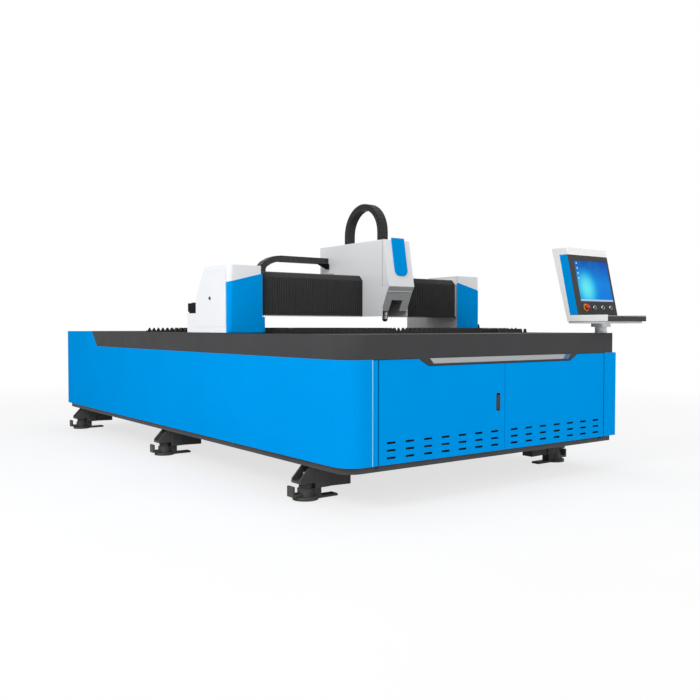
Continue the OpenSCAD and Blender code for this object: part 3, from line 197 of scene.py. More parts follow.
PANEL_FOOT = 0.240
BLUE = lin(0, 152, 233)
WHITE = lin(236, 238, 240)
FRAME_GREY = lin(74, 72, 71)
blue_coat = painted("blue_coat", BLUE, 0.38, 0.02, gloss=0.0)
jamb_coat = painted("jamb_coat", BLUE, 0.38, 0.02, gloss=0.0, below=(PANEL_FOOT - 0.001, FRAME_GREY))
band_coat = painted("band_coat", lin(70, 70, 71), 0.5, 0.05, 900.0, 0.3, gloss=0.03)
deck_coat = painted("deck_coat", lin(54, 54, 55), 0.55, 0.1, 700.0, 0.25, gloss=0.15)
frame_coat = painted("frame_coat", FRAME_GREY, 0.6, 0.12, 300.0, 0.25, gloss=0.2)
shell_coat = painted("shell_coat", lin(246, 245, 244), 0.4, 0.015, coat=0.1)
white_coat = painted("white_coat", WHITE, 0.4, 0.015, coat=0.1)
# Head guard: white on the faces that look along X; the mid grey on its other faces is painted shade on white
# sheet
guard_painted_shade = painted("guard_painted_shade", lin(186, 187, 188), 0.42, 0.04, sides=WHITE)
cabinet_coat = painted("cabinet_coat", lin(170, 172, 176), 0.45, 0.05)
post_coat = painted("post_coat", lin(222, 222, 222), 0.42, 0.04)
black_coat = painted("black_coat", lin(21, 21, 22), 0.45, 0.1, gloss=0.02)
cast_black = painted("cast_black", lin(82, 82, 81), 0.55, 0.12, 160.0, 0.5, gloss=0.1)
console_coat = painted("console_coat", lin(72, 72, 73), 0.48, 0.06, 900.0, 0.2, gloss=0.03)
pan_coat = painted("pan_coat", lin(60, 57, 54), 0.75, 0.3, 60.0, 0.5)
rail_steel = ground_steel("rail_steel", lin(190, 192, 196), 0.28)
block_steel = ground_steel("block_steel", lin(175, 177, 181), 0.34)
slat_steel = ground_steel("slat_steel", lin(47, 45, 43), 0.55, (8.0, 60.0, 60.0), 0.6)
bolt_steel = ground_steel("bolt_steel", lin(150, 151, 153), 0.35, (60.0, 60.0, 2.0))
carriage_metal = ground_steel("carriage_metal", lin(172, 174, 178), 0.36)
head_metal = ground_steel("head_metal", lin(182, 184, 188), 0.3, (60.0, 60.0, 1.0))
nozzle_metal = ground_steel("nozzle_metal", lin(168, 168, 170), 0.35, (60.0, 60.0, 2.0))
ring_yellow = moulded("ring_yellow", lin(214, 150, 30), 0.4)
# Light blue for the rounded corner fold: a painted highlight on blue sheet; the rest of its shine comes from
# a real clear coat
fold_painted_highlight = painted("fold_painted_highlight", lin(165, 220, 250), 0.2, 0.02, coat=0.6)
cap_blue = painted("cap_blue", lin(24, 92, 128), 0.2, 0.1, coat=0.3)
clamp_coat = painted("clamp_coat", lin(205, 206, 208), 0.4, 0.03)
front_coat = painted("front_coat", lin(128, 131, 136), 0.4, 0.05)
button_cap = moulded("button_cap", lin(28, 28, 30), 0.3)
seam_rubber = moulded("seam_rubber", lin(158, 159, 161), 0.6)
mat_rubber = moulded("mat_rubber", lin(44, 44, 45), 0.7)
trim_metal = ground_steel("trim_metal", lin(170, 171, 173), 0.35, (1.0, 60.0, 60.0), 0.6)
bellows_cloth = moulded("bellows_cloth", lin(50, 50, 51), 0.62, 500.0, 0.25, gloss=0.4)
chain_plastic = moulded("chain_plastic", lin(60, 60, 60), 0.48, gloss=0.25)
arch_plastic = moulded("arch_plastic", lin(48, 48, 48), 0.48, gloss=0.12)
handle_plastic = moulded("handle_plastic", lin(30, 30, 31), 0.4)
stop_red = moulded("stop_red", lin(200, 18, 22), 0.3)
button_metal = ground_steel("button_metal", lin(196, 198, 202), 0.25)


def lit_screen(name, low, high):
    """Generic desktop picture: a blue field with a cyan glow, a light bar below and a few blank icons."""
    made = Finish(name)
    across = made.spread(made.part(made.place, "X"), 0.0, 1.0, low.x, high.x)
    up = made.spread(made.part(made.place, "Z"), 0.0, 1.0, low.z, high.z)

    def calc(operation, first, second=0.0, third=0.0):
        node = made.add("ShaderNodeMath", operation=operation)
        for socket, value in zip(node.inputs, (first, second, third)):
            if isinstance(value, float):
                socket.default_value = value
            else:
                made.link(value, socket)
        return node.outputs[0]

    def mixed(share, first, second):
        node = made.add("ShaderNodeMixRGB")
        made.link(share, node.inputs[0])
        for socket, value in zip(node.inputs[1:], (first, second)):
            if isinstance(value, tuple):
                socket.default_value = value
            else:
                made.link(value, socket)
        return node.outputs[0]

    field = made.ramp(up, (0.0, lin(4, 128, 222)), (0.45, lin(8, 140, 228)), (1.0, lin(8, 78, 172)))
    edge = made.spread(across, 0.0, 0.45, 0.55, 1.0)
    field = mixed(edge, field, lin(6, 70, 190))
    reach = calc("ADD", calc("POWER", calc("MULTIPLY", calc("SUBTRACT", across, 0.24), 2.3), 2.0),
                 calc("POWER", calc("MULTIPLY", calc("SUBTRACT", up, 0.32), 1.6), 2.0))
    glow = made.spread(reach, 0.95, 0.0, 0.0, 0.75)
    field = mixed(glow, field, made.ramp(glow, (0.35, lin(0, 186, 238)), (0.95, lin(104, 240, 242))))
    veil = made.spread(made.noise(9.0, 3.0, 0.5, (1.0, 1.0, 0.4)), 0.0, 0.18, 0.45, 0.7)
    field = mixed(veil, field, lin(0, 176, 236))
    column = calc("COMPARE", across, 0.055, 0.017)
    rows = calc("COMPARE", calc("FRACT", calc("MULTIPLY", up, 8.0)), 0.5, 0.15)
    icons = calc("MULTIPLY", calc("MULTIPLY", column, rows), calc("GREATER_THAN", up, 0.55))
    field = mixed(icons, field, lin(205, 225, 245))
    field = mixed(calc("LESS_THAN", up, 0.045), field, lin(176, 200, 236))
    made.shader.inputs["Base Color"].default_value = (0.01, 0.02, 0.04, 1)
    made.shader.inputs["Specular IOR Level"].default_value = 0.01
    made.rough(made.spread(made.noise(60.0, 2.0), 0.12, 0.2))
    made.link(field, made.shader.inputs["Emission Color"])
    made.shader.inputs["Emission Strength"].default_value = 0.95
    return made.material


screen_glow = lit_screen("screen_glow", *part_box("screen"))

NODE_FINISH = {
    blue_coat: "side_panel_left side_panel_right rear_panel door_left door_right cover_fronts head_badge"
               " console_box",
    jamb_coat: "door_frame",
    band_coat: "guard_band",
    deck_coat: "end_decks slat_frame",
    frame_coat: "base_frame side_beams frame_posts cross_members gantry_columns beam",
    white_coat: "cover_left cover_right service_panels head_cover head_front",
    shell_coat: "console_shell",
    guard_painted_shade: "head_guard",
    cabinet_coat: "cabinets",
    post_coat: "console_post console_base",
    black_coat: "drive_motors chain_tray carriage_motors chain_bracket",
    cast_black: "foot_brackets foot_pads",
    console_coat: "console_panel keyboard_tray",
    pan_coat: "spark_pan",
    rail_steel: "guide_rails beam_guides",
    block_steel: "slider_blocks lift_slide",
    slat_steel: "slats",
    bolt_steel: "levelling_bolts",
    carriage_metal: "carriage_plate",
    head_metal: "cutting_head",
    nozzle_metal: "nozzle",
    trim_metal: "trim_bar",
    bellows_cloth: "bellows_left bellows_right",
    chain_plastic: "chain_lower_run chain_bend chain_upper_run",
    arch_plastic: "arch_chain",
    handle_plastic: "handle_tray handle_lever",
    stop_red: "emergency_stop",
    button_metal: "push_button_1 push_button_2 push_button_3",
    screen_glow: "screen",
}
for finish, names in NODE_FINISH.items():
    for name in names.split():
        nodes[name].data.materials.clear()
        nodes[name].data.materials.append(finish)


# Modelling helpers


def only(*objects):
    """Selects these objects alone, the first one active."""
    bpy.ops.object.select_all(action="DESELECT")
    for item in objects:
        item.select_set(True)
    bpy.context.view_layer.objects.active = objects[0]
    return objects[0]


def applied(item):
    only(item)
    bpy.ops.object.transform_apply(location=True, rotation=True, scale=True)
    return item


def slab(x, y, z):
    """Box between two values along each axis."""
    middle = [(a + b) / 2 for a, b in (x, y, z)]
    bpy.ops.mesh.primitive_cube_add(size=1.0, location=middle)
    item = bpy.context.object
    item.scale = [b - a for a, b in (x, y, z)]
    return applied(item)


def rod(radius, start, end, sides):
    """Round bar between two points."""
    start, end = Vector(start), Vector(end)
    line = end - start
    bpy.ops.mesh.primitive_cone_add(vertices=sides, radius1=radius, radius2=radius, depth=line.length,
                                    location=(start + end) / 2)
    item = bpy.context.object
    item.rotation_euler = line.to_track_quat("Z", "Y").to_euler()
    return applied(item)


def with_modifier(item, kind, **settings):
    """Adds a modifier and applies it."""
    only(item)
    modifier = item.modifiers.new(kind.title(), kind)
    for key, value in settings.items():
        setattr(modifier, key, value)
    bpy.ops.object.modifier_apply(modifier=modifier.name)
    return item


def soften(item, width, segments=2):
    return with_modifier(item, "BEVEL", width=width, segments=segments, limit_method="ANGLE", angle_limit=0.6)


def repeated(item, count, step, merge=False):
    return with_modifier(item, "ARRAY", count=count, use_relative_offset=False, use_constant_offset=True,
                         constant_offset_displace=step, use_merge_vertices=merge, merge_threshold=0.0002)


def joined(*objects):
    only(*objects)
    bpy.ops.object.join()
    return bpy.context.object


def copied(item, shift=(0, 0, 0), turn=None):
    """Copy with a mesh of its own, moved or turned by a matrix."""
    only(item)
    bpy.ops.object.duplicate(linked=False)
    made = bpy.context.object
    made.matrix_world = turn if turn is not None else Matrix.Translation(shift)
    return applied(made)


def removed(*objects):
    only(*objects)
    bpy.ops.object.delete()


def about(place, angle, axis):
    """Turn about an axis through a point."""
    move = Matrix.Translation(place)
    return move @ Matrix.Rotation(angle, 4, axis) @ move.inverted()


def pick_faces(item, test):
    """Leaves edit mode open with the faces that pass the test selected."""
    only(item)
    bpy.ops.object.mode_set(mode="EDIT")
    bpy.ops.mesh.select_mode(type="FACE")
    bpy.ops.mesh.select_all(action="DESELECT")
    bpy.ops.object.mode_set(mode="OBJECT")
    for face in item.data.polygons:
        face.select = test(face)
    bpy.ops.object.mode_set(mode="EDIT")


def sunk(item, direction, margin, depth, least=0.0):
    """Sinks, or raises by a negative depth, a panel in the faces that look one way."""
    direction = Vector(direction)
    pick_faces(item, lambda face: face.normal.dot(direction) > 0.99 and face.area > least)
    bpy.ops.mesh.inset(thickness=margin, depth=-depth, use_individual=True)
    bpy.ops.object.mode_set(mode="OBJECT")
    return item


def traced(points):
    """Open line through points, extruded from one vertex."""
    bpy.ops.mesh.primitive_plane_add(size=0.01, location=(0, 0, 0))
    item = bpy.context.object
    bpy.ops.object.mode_set(mode="EDIT")
    bpy.ops.mesh.select_mode(type="VERT")
    bpy.ops.mesh.select_all(action="SELECT")
    bpy.ops.mesh.merge(type="CENTER")
    bpy.ops.transform.translate(value=points[0])
    for before, after in zip(points, points[1:]):
        bpy.ops.mesh.extrude_region_move(
            TRANSFORM_OT_translate={"value": [b - a for a, b in zip(before, after)]})
    bpy.ops.mesh.select_all(action="SELECT")
    return item


def drawn_out(item, steps):
    """Extrudes the selected line by each step in turn, and leaves edit mode."""
    for step in steps:
        bpy.ops.mesh.extrude_region_move(TRANSFORM_OT_translate={"value": step})
    bpy.ops.object.mode_set(mode="OBJECT")
    return item


def turned(profile, middle, axis="Z", steps=40):
    """Solid of revolution: a line of (radius, height) points spun about an axis through a point."""
    item = traced([(r, 0, h) for r, h in profile])
    bpy.ops.object.mode_set(mode="OBJECT")
    with_modifier(item, "SCREW", angle=math.tau, steps=steps, render_steps=steps, use_merge_vertices=True,
                  merge_threshold=0.00005, use_normal_calculate=True)
    only(item)
    if axis == "X":
        item.rotation_euler = (0, math.pi / 2, 0)
    elif axis == "-Y":
        item.rotation_euler = (math.pi / 2, 0, 0)
    item.location = middle
    return applied(item)


def smooth(item, angle=40):
    only(item)
    bpy.ops.object.shade_smooth_by_angle(angle=math.radians(angle))
    return item


def settled(item, name, finish, body=None, stands_for=()):
    """Names a finished piece, gives it its finish and lets it ride on a body."""
    item.name = name
    item.data.name = name
    item.data.materials.clear()
    item.data.materials.append(finish)
    applied(item)
    if stands_for:
        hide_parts(*stands_for)
    if body:
        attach(item, body)
    return item


def stretch(item, near, far, xa, wa, xb, wb):
    """Works out the start and length of a piece between xa and xb from the shares wa and wb, then bakes its
    placement; near and far are not used.
    """
    def at(share):
        return 0.5 - math.sin(math.asin(1 - 2 * share) / 3)
    length = (xb - xa) / (at(wb) - at(wa))
    start = xa - at(wa) * length
    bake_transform(item)


# Places shared by the pieces

QUARTER = math.pi / 2
SIDES = (("left", -1), ("right", 1))
FRONT = -2.464
GANTRY = -1.155
DECK = 0.944
HEAD_X = 0.072
HEAD_LEFT = -0.045
HEAD_RIGHT = 0.189
HEAD_TOP = 1.603
COVER_IN = 0.903
COVER_OUT = 1.146
SEAM_Y = -1.3865


# Bellows

FOLD = 0.010
SHOULDER = 0.035
HEAD_GAP = 0.002
BELLOWS_FOOT = 1.055
BELLOWS_TOP = 1.359
BELLOWS_REAR = -0.790
SECTION = [(0, GANTRY, BELLOWS_FOOT + FOLD), (0, GANTRY, BELLOWS_TOP - SHOULDER),
           (0, GANTRY + SHOULDER, BELLOWS_TOP), (0, BELLOWS_REAR - FOLD, BELLOWS_TOP)]


def bellows(side, x0, x1, folds):
    """Row of folds from the end cover to the carriage, in stretches of a few folds each."""
    cloth_t = 0.0016
    pitch = (x1 - x0) / folds
    crest, slope = 0.1 * pitch, 0.4 * pitch
    pleat = traced(SECTION)
    drawn_out(pleat, [(crest, 0, 0), (slope, FOLD, -FOLD), (crest, 0, 0), (slope, -FOLD, FOLD)])
    # The stretches are short near both ends, where a blend is least even
    marks = [0, 1, 2, 3, 5, 8, 13, folds // 2]
    marks += [folds - m for m in reversed(marks[:-1])]
    for number, (a, b) in enumerate(zip(marks, marks[1:]), 1):
        part = copied(pleat, (x0 + a * pitch, 0, 0))
        repeated(part, b - a, (pitch, 0, 0), merge=True)
        with_modifier(part, "SOLIDIFY", thickness=cloth_t, offset=0.0)
        settled(part, f"bellows_{side}_{number}", bellows_cloth, None, (f"bellows_{side}",))
        shares = (a / folds, b / folds) if side == "left" else (1 - a / folds, 1 - b / folds)
        stretch(part, "gantry", "carriage", x0 + a * pitch, shares[0], x0 + b * pitch, shares[1])
    removed(pleat)


bellows("left", -COVER_IN, HEAD_LEFT - HEAD_GAP, 48)
bellows("right", HEAD_RIGHT + HEAD_GAP, COVER_IN, 40)


# Cable chains

CHAIN_W = 0.066
CHAIN_T = 0.044
CHAIN_Y = -0.720
CHAIN_TOP = 1.514
CHAIN_END = 0.100
SWEEP_R = 0.270
BEND_R = 0.080
LEAN = math.radians(35)
SWEEP = Vector((-0.460, 0, CHAIN_TOP - SWEEP_R))
BEND = SWEEP + (SWEEP_R - BEND_R) * Vector((-math.sin(LEAN), 0, math.cos(LEAN)))
ARCH = Vector((HEAD_X, -1.040, 1.677))


def chain_link(length, waist=1.0):
    """Link along X from the origin, its outside upwards; where the chain curves, a waist shortens its inside.
    Neighbours lap inside their rounded ends, so that no light shows between them."""
    lap, edge = 0.0003, 0.0014
    link = slab((-lap, length + lap), (0, CHAIN_W), (0, CHAIN_T))
    if waist < 1:
        pick_faces(link, lambda face: face.normal.z < -0.9)
        bpy.ops.transform.resize(value=(waist, 1, 1), center_override=(length / 2, CHAIN_W / 2, 0))
        bpy.ops.object.mode_set(mode="OBJECT")
    soften(link, edge)
    least = 0.3 * length * waist * CHAIN_T
    cheek_margin, cheek_depth = 0.0055, 0.0025
    back_margin, back_depth = 0.005, 0.0018
    sunk(link, (0, -1, 0), cheek_margin, cheek_depth, least)
    sunk(link, (0, 1, 0), cheek_margin, cheek_depth, least)
    sunk(link, (0, 0, 1), back_margin, back_depth, least)
    pin_r, pin_x, pin_in, pin_l = 0.0065, length * 0.76, 0.004, 0.0045
    pins = [rod(pin_r, (pin_x, y, CHAIN_T / 2), (pin_x, y + out, CHAIN_T / 2), 12)
            for y, out in ((pin_in, -pin_l), (CHAIN_W - pin_in, pin_l))]
    return joined(link, *pins)


def straight_run(count, length):
    return repeated(chain_link(length), count, (length, 0, 0))


def curved_run(count, radius, step, turn):
    """Links round an arc, each turned by a function of its number."""
    link = chain_link(radius * step, 1 - CHAIN_T / radius)
    links = [copied(link, turn=turn(i)) for i in range(count)]
    removed(link)
    return joined(*links)


def beam_arc(centre, radius, first, last, count):
    """Links round a bend of the beam chain between two angles, measured up from +X."""
    step = (last - first) / count

    def turn(i):
        angle = first + (i + 0.5) * step
        place = Vector((centre.x - radius * step / 2, CHAIN_Y, centre.z + radius - CHAIN_T))
        return about(centre, QUARTER - angle, "Y") @ Matrix.Translation(place)
    return curved_run(count, radius, step, turn)


def beam_chain():
    """Chain behind the beam: the bend that travels, the run to the gantry and the run to the carriage."""
    bend = joined(beam_arc(SWEEP, SWEEP_R, QUARTER, QUARTER + LEAN, 3),
                  beam_arc(BEND, BEND_R, QUARTER + LEAN, 3 * QUARTER, 6))
    settled(bend, "chain_bend_links", chain_plastic, "bend", ("chain_bend",))

    low_count = 13
    low_z = BEND.z - BEND_R
    low = straight_run(low_count, (CHAIN_END - BEND.x) / low_count)
    flip = about((0, CHAIN_Y + CHAIN_W / 2, low_z + CHAIN_T / 2), math.pi, "X")
    low.matrix_world = flip @ Matrix.Translation((BEND.x, CHAIN_Y, low_z))
    settled(low, "chain_lower_links", chain_plastic, None, ("chain_lower_run",))
    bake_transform(low)

    count = 8
    length = (HEAD_LEFT - SWEEP.x) / count
    link = chain_link(length)
    for i in range(count):
        x = SWEEP.x + i * length
        part = copied(link, (x, CHAIN_Y, CHAIN_TOP - CHAIN_T))
        settled(part, f"chain_upper_link_{i + 1}", chain_plastic, None, ("chain_upper_run",))
        stretch(part, "gantry", "carriage", x, 0.5 + 0.5 * i / count, x + length, 0.5 + 0.5 * (i + 1) / count)
    removed(link)


def arched_chain():
    """Chain over the head, its width along X, from the cover's top to the lifting head."""
    radius, count, front_sink = 0.222, 20, 0.073
    step = math.pi / count
    across = Matrix.Rotation(QUARTER, 4, "Z")

    def turn(i):
        angle = (i + 0.5) * step
        place = Vector((ARCH.x + CHAIN_W / 2, ARCH.y - radius * step / 2, ARCH.z + radius - CHAIN_T))
        return about(ARCH, angle - QUARTER, "X") @ Matrix.Translation(place) @ across
    arch = curved_run(count, radius, step, turn)
    legs = []
    reach = radius / math.cos(step / 2)
    upright = Matrix.Rotation(-QUARTER, 4, "Y") @ Matrix.Translation((0, 0, -CHAIN_T))
    for facing, low, number in ((-1, HEAD_TOP, 2), (1, HEAD_TOP - front_sink, 4)):
        leg = straight_run(number, (ARCH.z - low) / number)
        foot = Matrix.Translation((ARCH.x + facing * CHAIN_W / 2, ARCH.y - facing * reach, low))
        leg.matrix_world = foot @ Matrix.Rotation(facing * QUARTER, 4, "Z") @ upright
        legs.append(applied(leg))
    arch = joined(arch, *legs)
    settled(arch, "arch_links", arch_plastic, None, ("arch_chain",))
    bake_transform(arch)


beam_chain()
arched_chain()


# Console, with its round controls as (radius, height) outlines

CONSOLE_X = 1.05
PANEL_BACK = 0.069
PANEL_Z = 1.0644
PANEL_TILT = math.radians(-12.8)
PANEL = Matrix.Translation((CONSOLE_X, FRONT + PANEL_BACK, PANEL_Z)) @ Matrix.Rotation(PANEL_TILT, 4, "X")
CONTROL_Z = 0.053
STOP_X = -0.125
BUTTON_X = -0.032
BUTTON_PITCH = 0.09
KNOB = [(0, 0.0275), (0.009, 0.027), (0.0145, 0.0245), (0.018, 0.020), (0.019, 0.016), (0.0182, 0.012),
        (0.0135, 0.0095), (0.011, 0.008), (0.011, -0.022), (0, -0.022)]
KNOB_RING = [(0.0125, 0.001), (0.0262, 0.001), (0.0262, 0.0032), (0.0245, 0.004), (0.0145, 0.004),
             (0.0125, 0.003), (0.0125, 0.001)]
BUTTON = [(0, 0.0068), (0.006, 0.0072), (0.0095, 0.008), (0.0107, 0.0072), (0.011, 0.006), (0.011, -0.021),
          (0, -0.021)]
BUTTON_BEZEL = [(0.0114, 0.0015), (0.0162, 0.0015), (0.0162, 0.0045), (0.0142, 0.0072), (0.0122, 0.0072),
                (0.0114, 0.006), (0.0114, 0.0015)]


def control(outline, x, steps):
    """Round control spun from its outline, at a place across the panel, tilted with the slope."""
    item = smooth(turned(outline, (x, 0, CONTROL_Z), "-Y", steps))
    item.matrix_world = PANEL
    return applied(item)


def console_controls():
    """Emergency stop in its ring, and three push buttons in their bezels."""
    settled(control(KNOB, STOP_X, 40), "stop_knob", stop_red, "stop", ("emergency_stop",))
    settled(control(KNOB_RING, STOP_X, 40), "stop_ring", ring_yellow, "console")
    for i in range(3):
        x = BUTTON_X + BUTTON_PITCH * i
        body = f"button_{i + 1}"
        settled(control(BUTTON, x, 32), body + "_cap", button_cap, body, ("push_" + body,))
        settled(control(BUTTON_BEZEL, x, 32), body + "_bezel", button_metal, "console")


def tray_mat():
    """Rubber mat let into the keyboard tray."""
    low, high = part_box("keyboard_tray")
    margin, foot, top = 0.016, 0.0075, 0.0035
    mat = slab((low.x + margin, high.x - margin), (low.y + margin, high.y - margin),
               (high.z - foot, high.z - top))
    soften(mat, 0.0015)
    sunk(mat, (0, 0, 1), 0.012, 0.001, 0.01)
    settled(mat, "tray_mat", mat_rubber, "console")


console_controls()
tray_mat()


# Small pieces on the gantry, the head and the bed

LOCK_X, LOCK_Y, LOCK_Z = 1.1535, -0.9172, 1.177
LOCK = [(0, 0.0068), (0.0075, 0.0068), (0.0105, 0.0062), (0.0115, 0.005), (0.0115, 0.0005), (0.0, 0.0005)]
RACK_IN, RACK_OUT = 1.045, 1.075
RAIL_X, RAIL_TOP = 1.0, 0.896
RAIL_PLUG = [(0, 0.0002), (0.0042, 0.0002), (0.0048, -0.0006), (0.0062, -0.0006), (0.0066, 0.0002),
             (0.0072, 0.0002), (0.0072, -0.001), (0, -0.001)]
CABINETS = (("source", -0.820, -0.120, 0.190), ("control", 0.180, 0.840, 0.200))
MOTOR_PLUG = [(0, 0.030), (0.009, 0.030), (0.011, 0.027), (0.011, 0.012), (0.014, 0.011), (0.014, 0.0),
              (0, 0.0)]
COLLARS = ((0.029, 1.104, 0.012), (0.043, 1.170, 0.016), (0.043, 1.318, 0.010))


def cover_locks():
    """Slotted turn lock on each service panel."""
    for side, sign in SIDES:
        lock = turned(LOCK, (0, 0, 0), "X", 32)
        slot = slab((0.0055, 0.009), (-0.0012, 0.0012), (-0.006, 0.006))
        with_modifier(lock, "BOOLEAN", object=slot, operation="DIFFERENCE")
        removed(slot)
        place = Matrix.Translation((sign * LOCK_X, LOCK_Y, LOCK_Z))
        lock.matrix_world = place if sign > 0 else place @ Matrix.Rotation(math.pi, 4, "Z")
        settled(applied(smooth(lock)), f"cover_lock_{side}", button_cap, "gantry")


def rack_teeth():
    """Row of teeth along each rack beside the guide rails."""
    low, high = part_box("guide_rails")
    pitch, tooth_l, tooth_h, crest = 0.01, 0.007, 0.0045, 0.45
    count = int((high.y - low.y) / pitch)
    for side, sign in SIDES:
        x = sorted((sign * RACK_IN, sign * RACK_OUT))
        tooth = slab(x, (low.y, low.y + tooth_l), (high.z, high.z + tooth_h))
        pick_faces(tooth, lambda face: face.normal.z > 0.9)
        bpy.ops.transform.resize(value=(1, crest, 1), center_override=(x[0], low.y + tooth_l / 2, 0))
        bpy.ops.object.mode_set(mode="OBJECT")
        repeated(tooth, count, (0, pitch, 0))
        settled(tooth, f"rack_teeth_{side}", block_steel, "bed")


def rail_plugs():
    """Plugs in the screw holes along each guide rail."""
    low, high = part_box("guide_rails")
    first, pitch = 0.03, 0.08
    count = int((high.y - low.y - first) / pitch)
    for side, sign in SIDES:
        plug = turned(RAIL_PLUG, (sign * RAIL_X, low.y + first, RAIL_TOP), "Z", 16)
        repeated(plug, count, (0, pitch, 0))
        settled(smooth(plug), f"rail_plugs_{side}", bolt_steel, "bed")


def fold_edge():
    """Rounded fold where the corner panel meets the door frame; its light blue is a painted highlight on the
    blue fold, over a real glossy coat.
    """
    left, right, top = -0.9795, -0.9745, 0.809
    bead = slab((left, right), (FRONT - 0.0025, FRONT + 0.001), (PANEL_FOOT + 0.001, top))
    soften(bead, 0.0022, 4)
    settled(smooth(bead), "corner_fold", fold_painted_highlight, "bed")


def trim_cap():
    """Dark glossy cap on the right end of the trim bar."""
    low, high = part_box("trim_bar")
    inner, outer, slant = 0.075, 0.022, 0.026
    cap = slab((high.x - inner, high.x - outer), (low.y - 0.002, high.y + 0.001),
               (low.z - 0.001, high.z - 0.001))
    pick_faces(cap, lambda face: face.normal.z > 0.9)
    bpy.ops.transform.translate(value=(slant, 0, 0))
    bpy.ops.object.mode_set(mode="OBJECT")
    soften(cap, 0.0012)
    sunk(cap, (0, -1, 0), 0.005, 0.0008, 0.0005)
    settled(cap, "trim_cap", cap_blue, "bed")


def bellows_clamp():
    """Light clamp that holds the right bellows to its end cover."""
    clamp_x, clamp_w = 0.884, 0.018
    clamp = traced([(clamp_x, y, z) for _, y, z in SECTION])
    drawn_out(clamp, [(clamp_w, 0, 0)])
    with_modifier(clamp, "SOLIDIFY", thickness=0.004, offset=0.0)
    settled(clamp, "bellows_clamp", clamp_coat, "gantry")


def guard_bead():
    """Light folded bead across the guard under the head's chin."""
    chin = Vector((0, GANTRY - 0.305, DECK + 0.326))
    jaw = Vector((0, GANTRY - 0.281, DECK + 0.287))
    down, inset = 0.92, 0.004
    middle = chin.lerp(jaw, down)
    slope = math.atan2(jaw.y - chin.y, chin.z - jaw.z)
    bead = slab((HEAD_LEFT + inset, HEAD_RIGHT - inset), (-0.004, 0.001), (-0.0035, 0.0035))
    soften(bead, 0.0015)
    bead.matrix_world = Matrix.Translation(middle) @ Matrix.Rotation(-slope, 4, "X")
    settled(smooth(applied(bead)), "guard_bead", clamp_coat, "carriage")


def cover_toe():
    """Foot of the left cover front that reaches in under the bellows."""
    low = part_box("cover_fronts")[0]
    left, right, top = -0.901, -0.874, BELLOWS_FOOT - 0.003
    toe = slab((left, right), (low.y + 0.001, low.y + 0.011), (low.z + 0.0005, top))
    soften(toe, 0.003, 3)
    settled(smooth(toe), "cover_toe", blue_coat, "gantry")


def head_seam():
    """Grey joint strip where the head's front cover meets its rear cover."""
    foot, seam_w = DECK + 0.328, 0.003
    seam = traced([(HEAD_LEFT, SEAM_Y, foot), (HEAD_LEFT, SEAM_Y, HEAD_TOP), (HEAD_RIGHT, SEAM_Y, HEAD_TOP),
                   (HEAD_RIGHT, SEAM_Y, foot)])
    drawn_out(seam, [(0, seam_w, 0)])
    with_modifier(seam, "SOLIDIFY", thickness=0.0012, offset=0.0)
    settled(seam, "head_seam", seam_rubber, "carriage")


def wiper_skirt():
    """Flared rubber lip along the foot of the right end cover."""
    radius, steps, length = 0.058, 8, 0.42
    middle_x = COVER_OUT + 0.003 + radius
    middle_z = DECK + 0.004 + radius
    angles = [math.pi + i * math.pi / 2 / steps for i in range(steps + 1)]
    lip = traced([(middle_x + radius * math.cos(a), GANTRY - 0.01, middle_z + radius * math.sin(a))
                  for a in angles])
    drawn_out(lip, [(0, length, 0)])
    with_modifier(lip, "SOLIDIFY", thickness=0.003, offset=0.0)
    settled(smooth(lip), "wiper_skirt", mat_rubber, "gantry")


def pull_handle(x, face_y, z):
    """Upright grip on two legs that stand on a plate's face."""
    grip_y, half, leg_at = face_y - 0.034, 0.045, 0.04
    grip = rod(0.005, (x, grip_y, z - half), (x, grip_y, z + half), 16)
    legs = [rod(0.004, (x, grip_y, z + leg), (x, face_y - 0.005, z + leg), 12) for leg in (-leg_at, leg_at)]
    return smooth(joined(soften(grip, 0.0015), *legs))


def cabinet_fronts():
    """Recessed front plates with pull handles on the boxes behind the doors."""
    margin, handle_in = 0.012, 0.034
    face_y = FRONT + 0.090
    foot_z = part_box("cabinets")[0].z
    for name, x0, x1, height in CABINETS:
        plate = slab((x0 + margin, x1 - margin), (face_y - 0.006, face_y + 0.0005),
                     (foot_z + margin, foot_z + height - margin))
        sunk(plate, (0, -1, 0), 0.042, 0.0045, 0.01)
        soften(plate, 0.0015)
        settled(plate, name + "_front", front_coat, "bed")
        for number, x in enumerate((x0 + handle_in, x1 - handle_in), 1):
            handle = pull_handle(x, face_y, foot_z + height / 2)
            settled(handle, f"{name}_handle_{number}", handle_plastic, "bed")


def motor_caps():
    """Rear caps, cooling ribs and plugs on the gantry's drive motors."""
    low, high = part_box("drive_motors")
    cap_out, cap_in, plug_out = 0.010, 0.190, 0.05
    ribs, rib_pitch, rib_in = 9, 0.009, 0.012
    for side, sign in SIDES:
        x0, x1 = sorted((sign * (high.x - cap_out), sign * (high.x - cap_in)))
        cap = slab((x0, x1), (high.y - 0.001, high.y + 0.008), (low.z + 0.020, high.z - 0.008))
        soften(cap, 0.004, 3)
        sunk(cap, (0, 1, 0), 0.008, 0.002, 0.002)
        plug_place = ((x0 + x1) / 2 + sign * plug_out, (low.y + high.y) / 2, high.z - 0.0005)
        plug = turned(MOTOR_PLUG, plug_place, "Z", 24)
        rib = slab((x0 + rib_in, x0 + rib_in + 0.004), (low.y + rib_in, high.y - rib_in),
                   (high.z - 0.001, high.z + 0.005))
        repeated(soften(rib, 0.001), ribs, (rib_pitch, 0, 0))
        settled(smooth(joined(cap, plug, rib)), f"motor_cap_{side}", black_coat, "gantry")


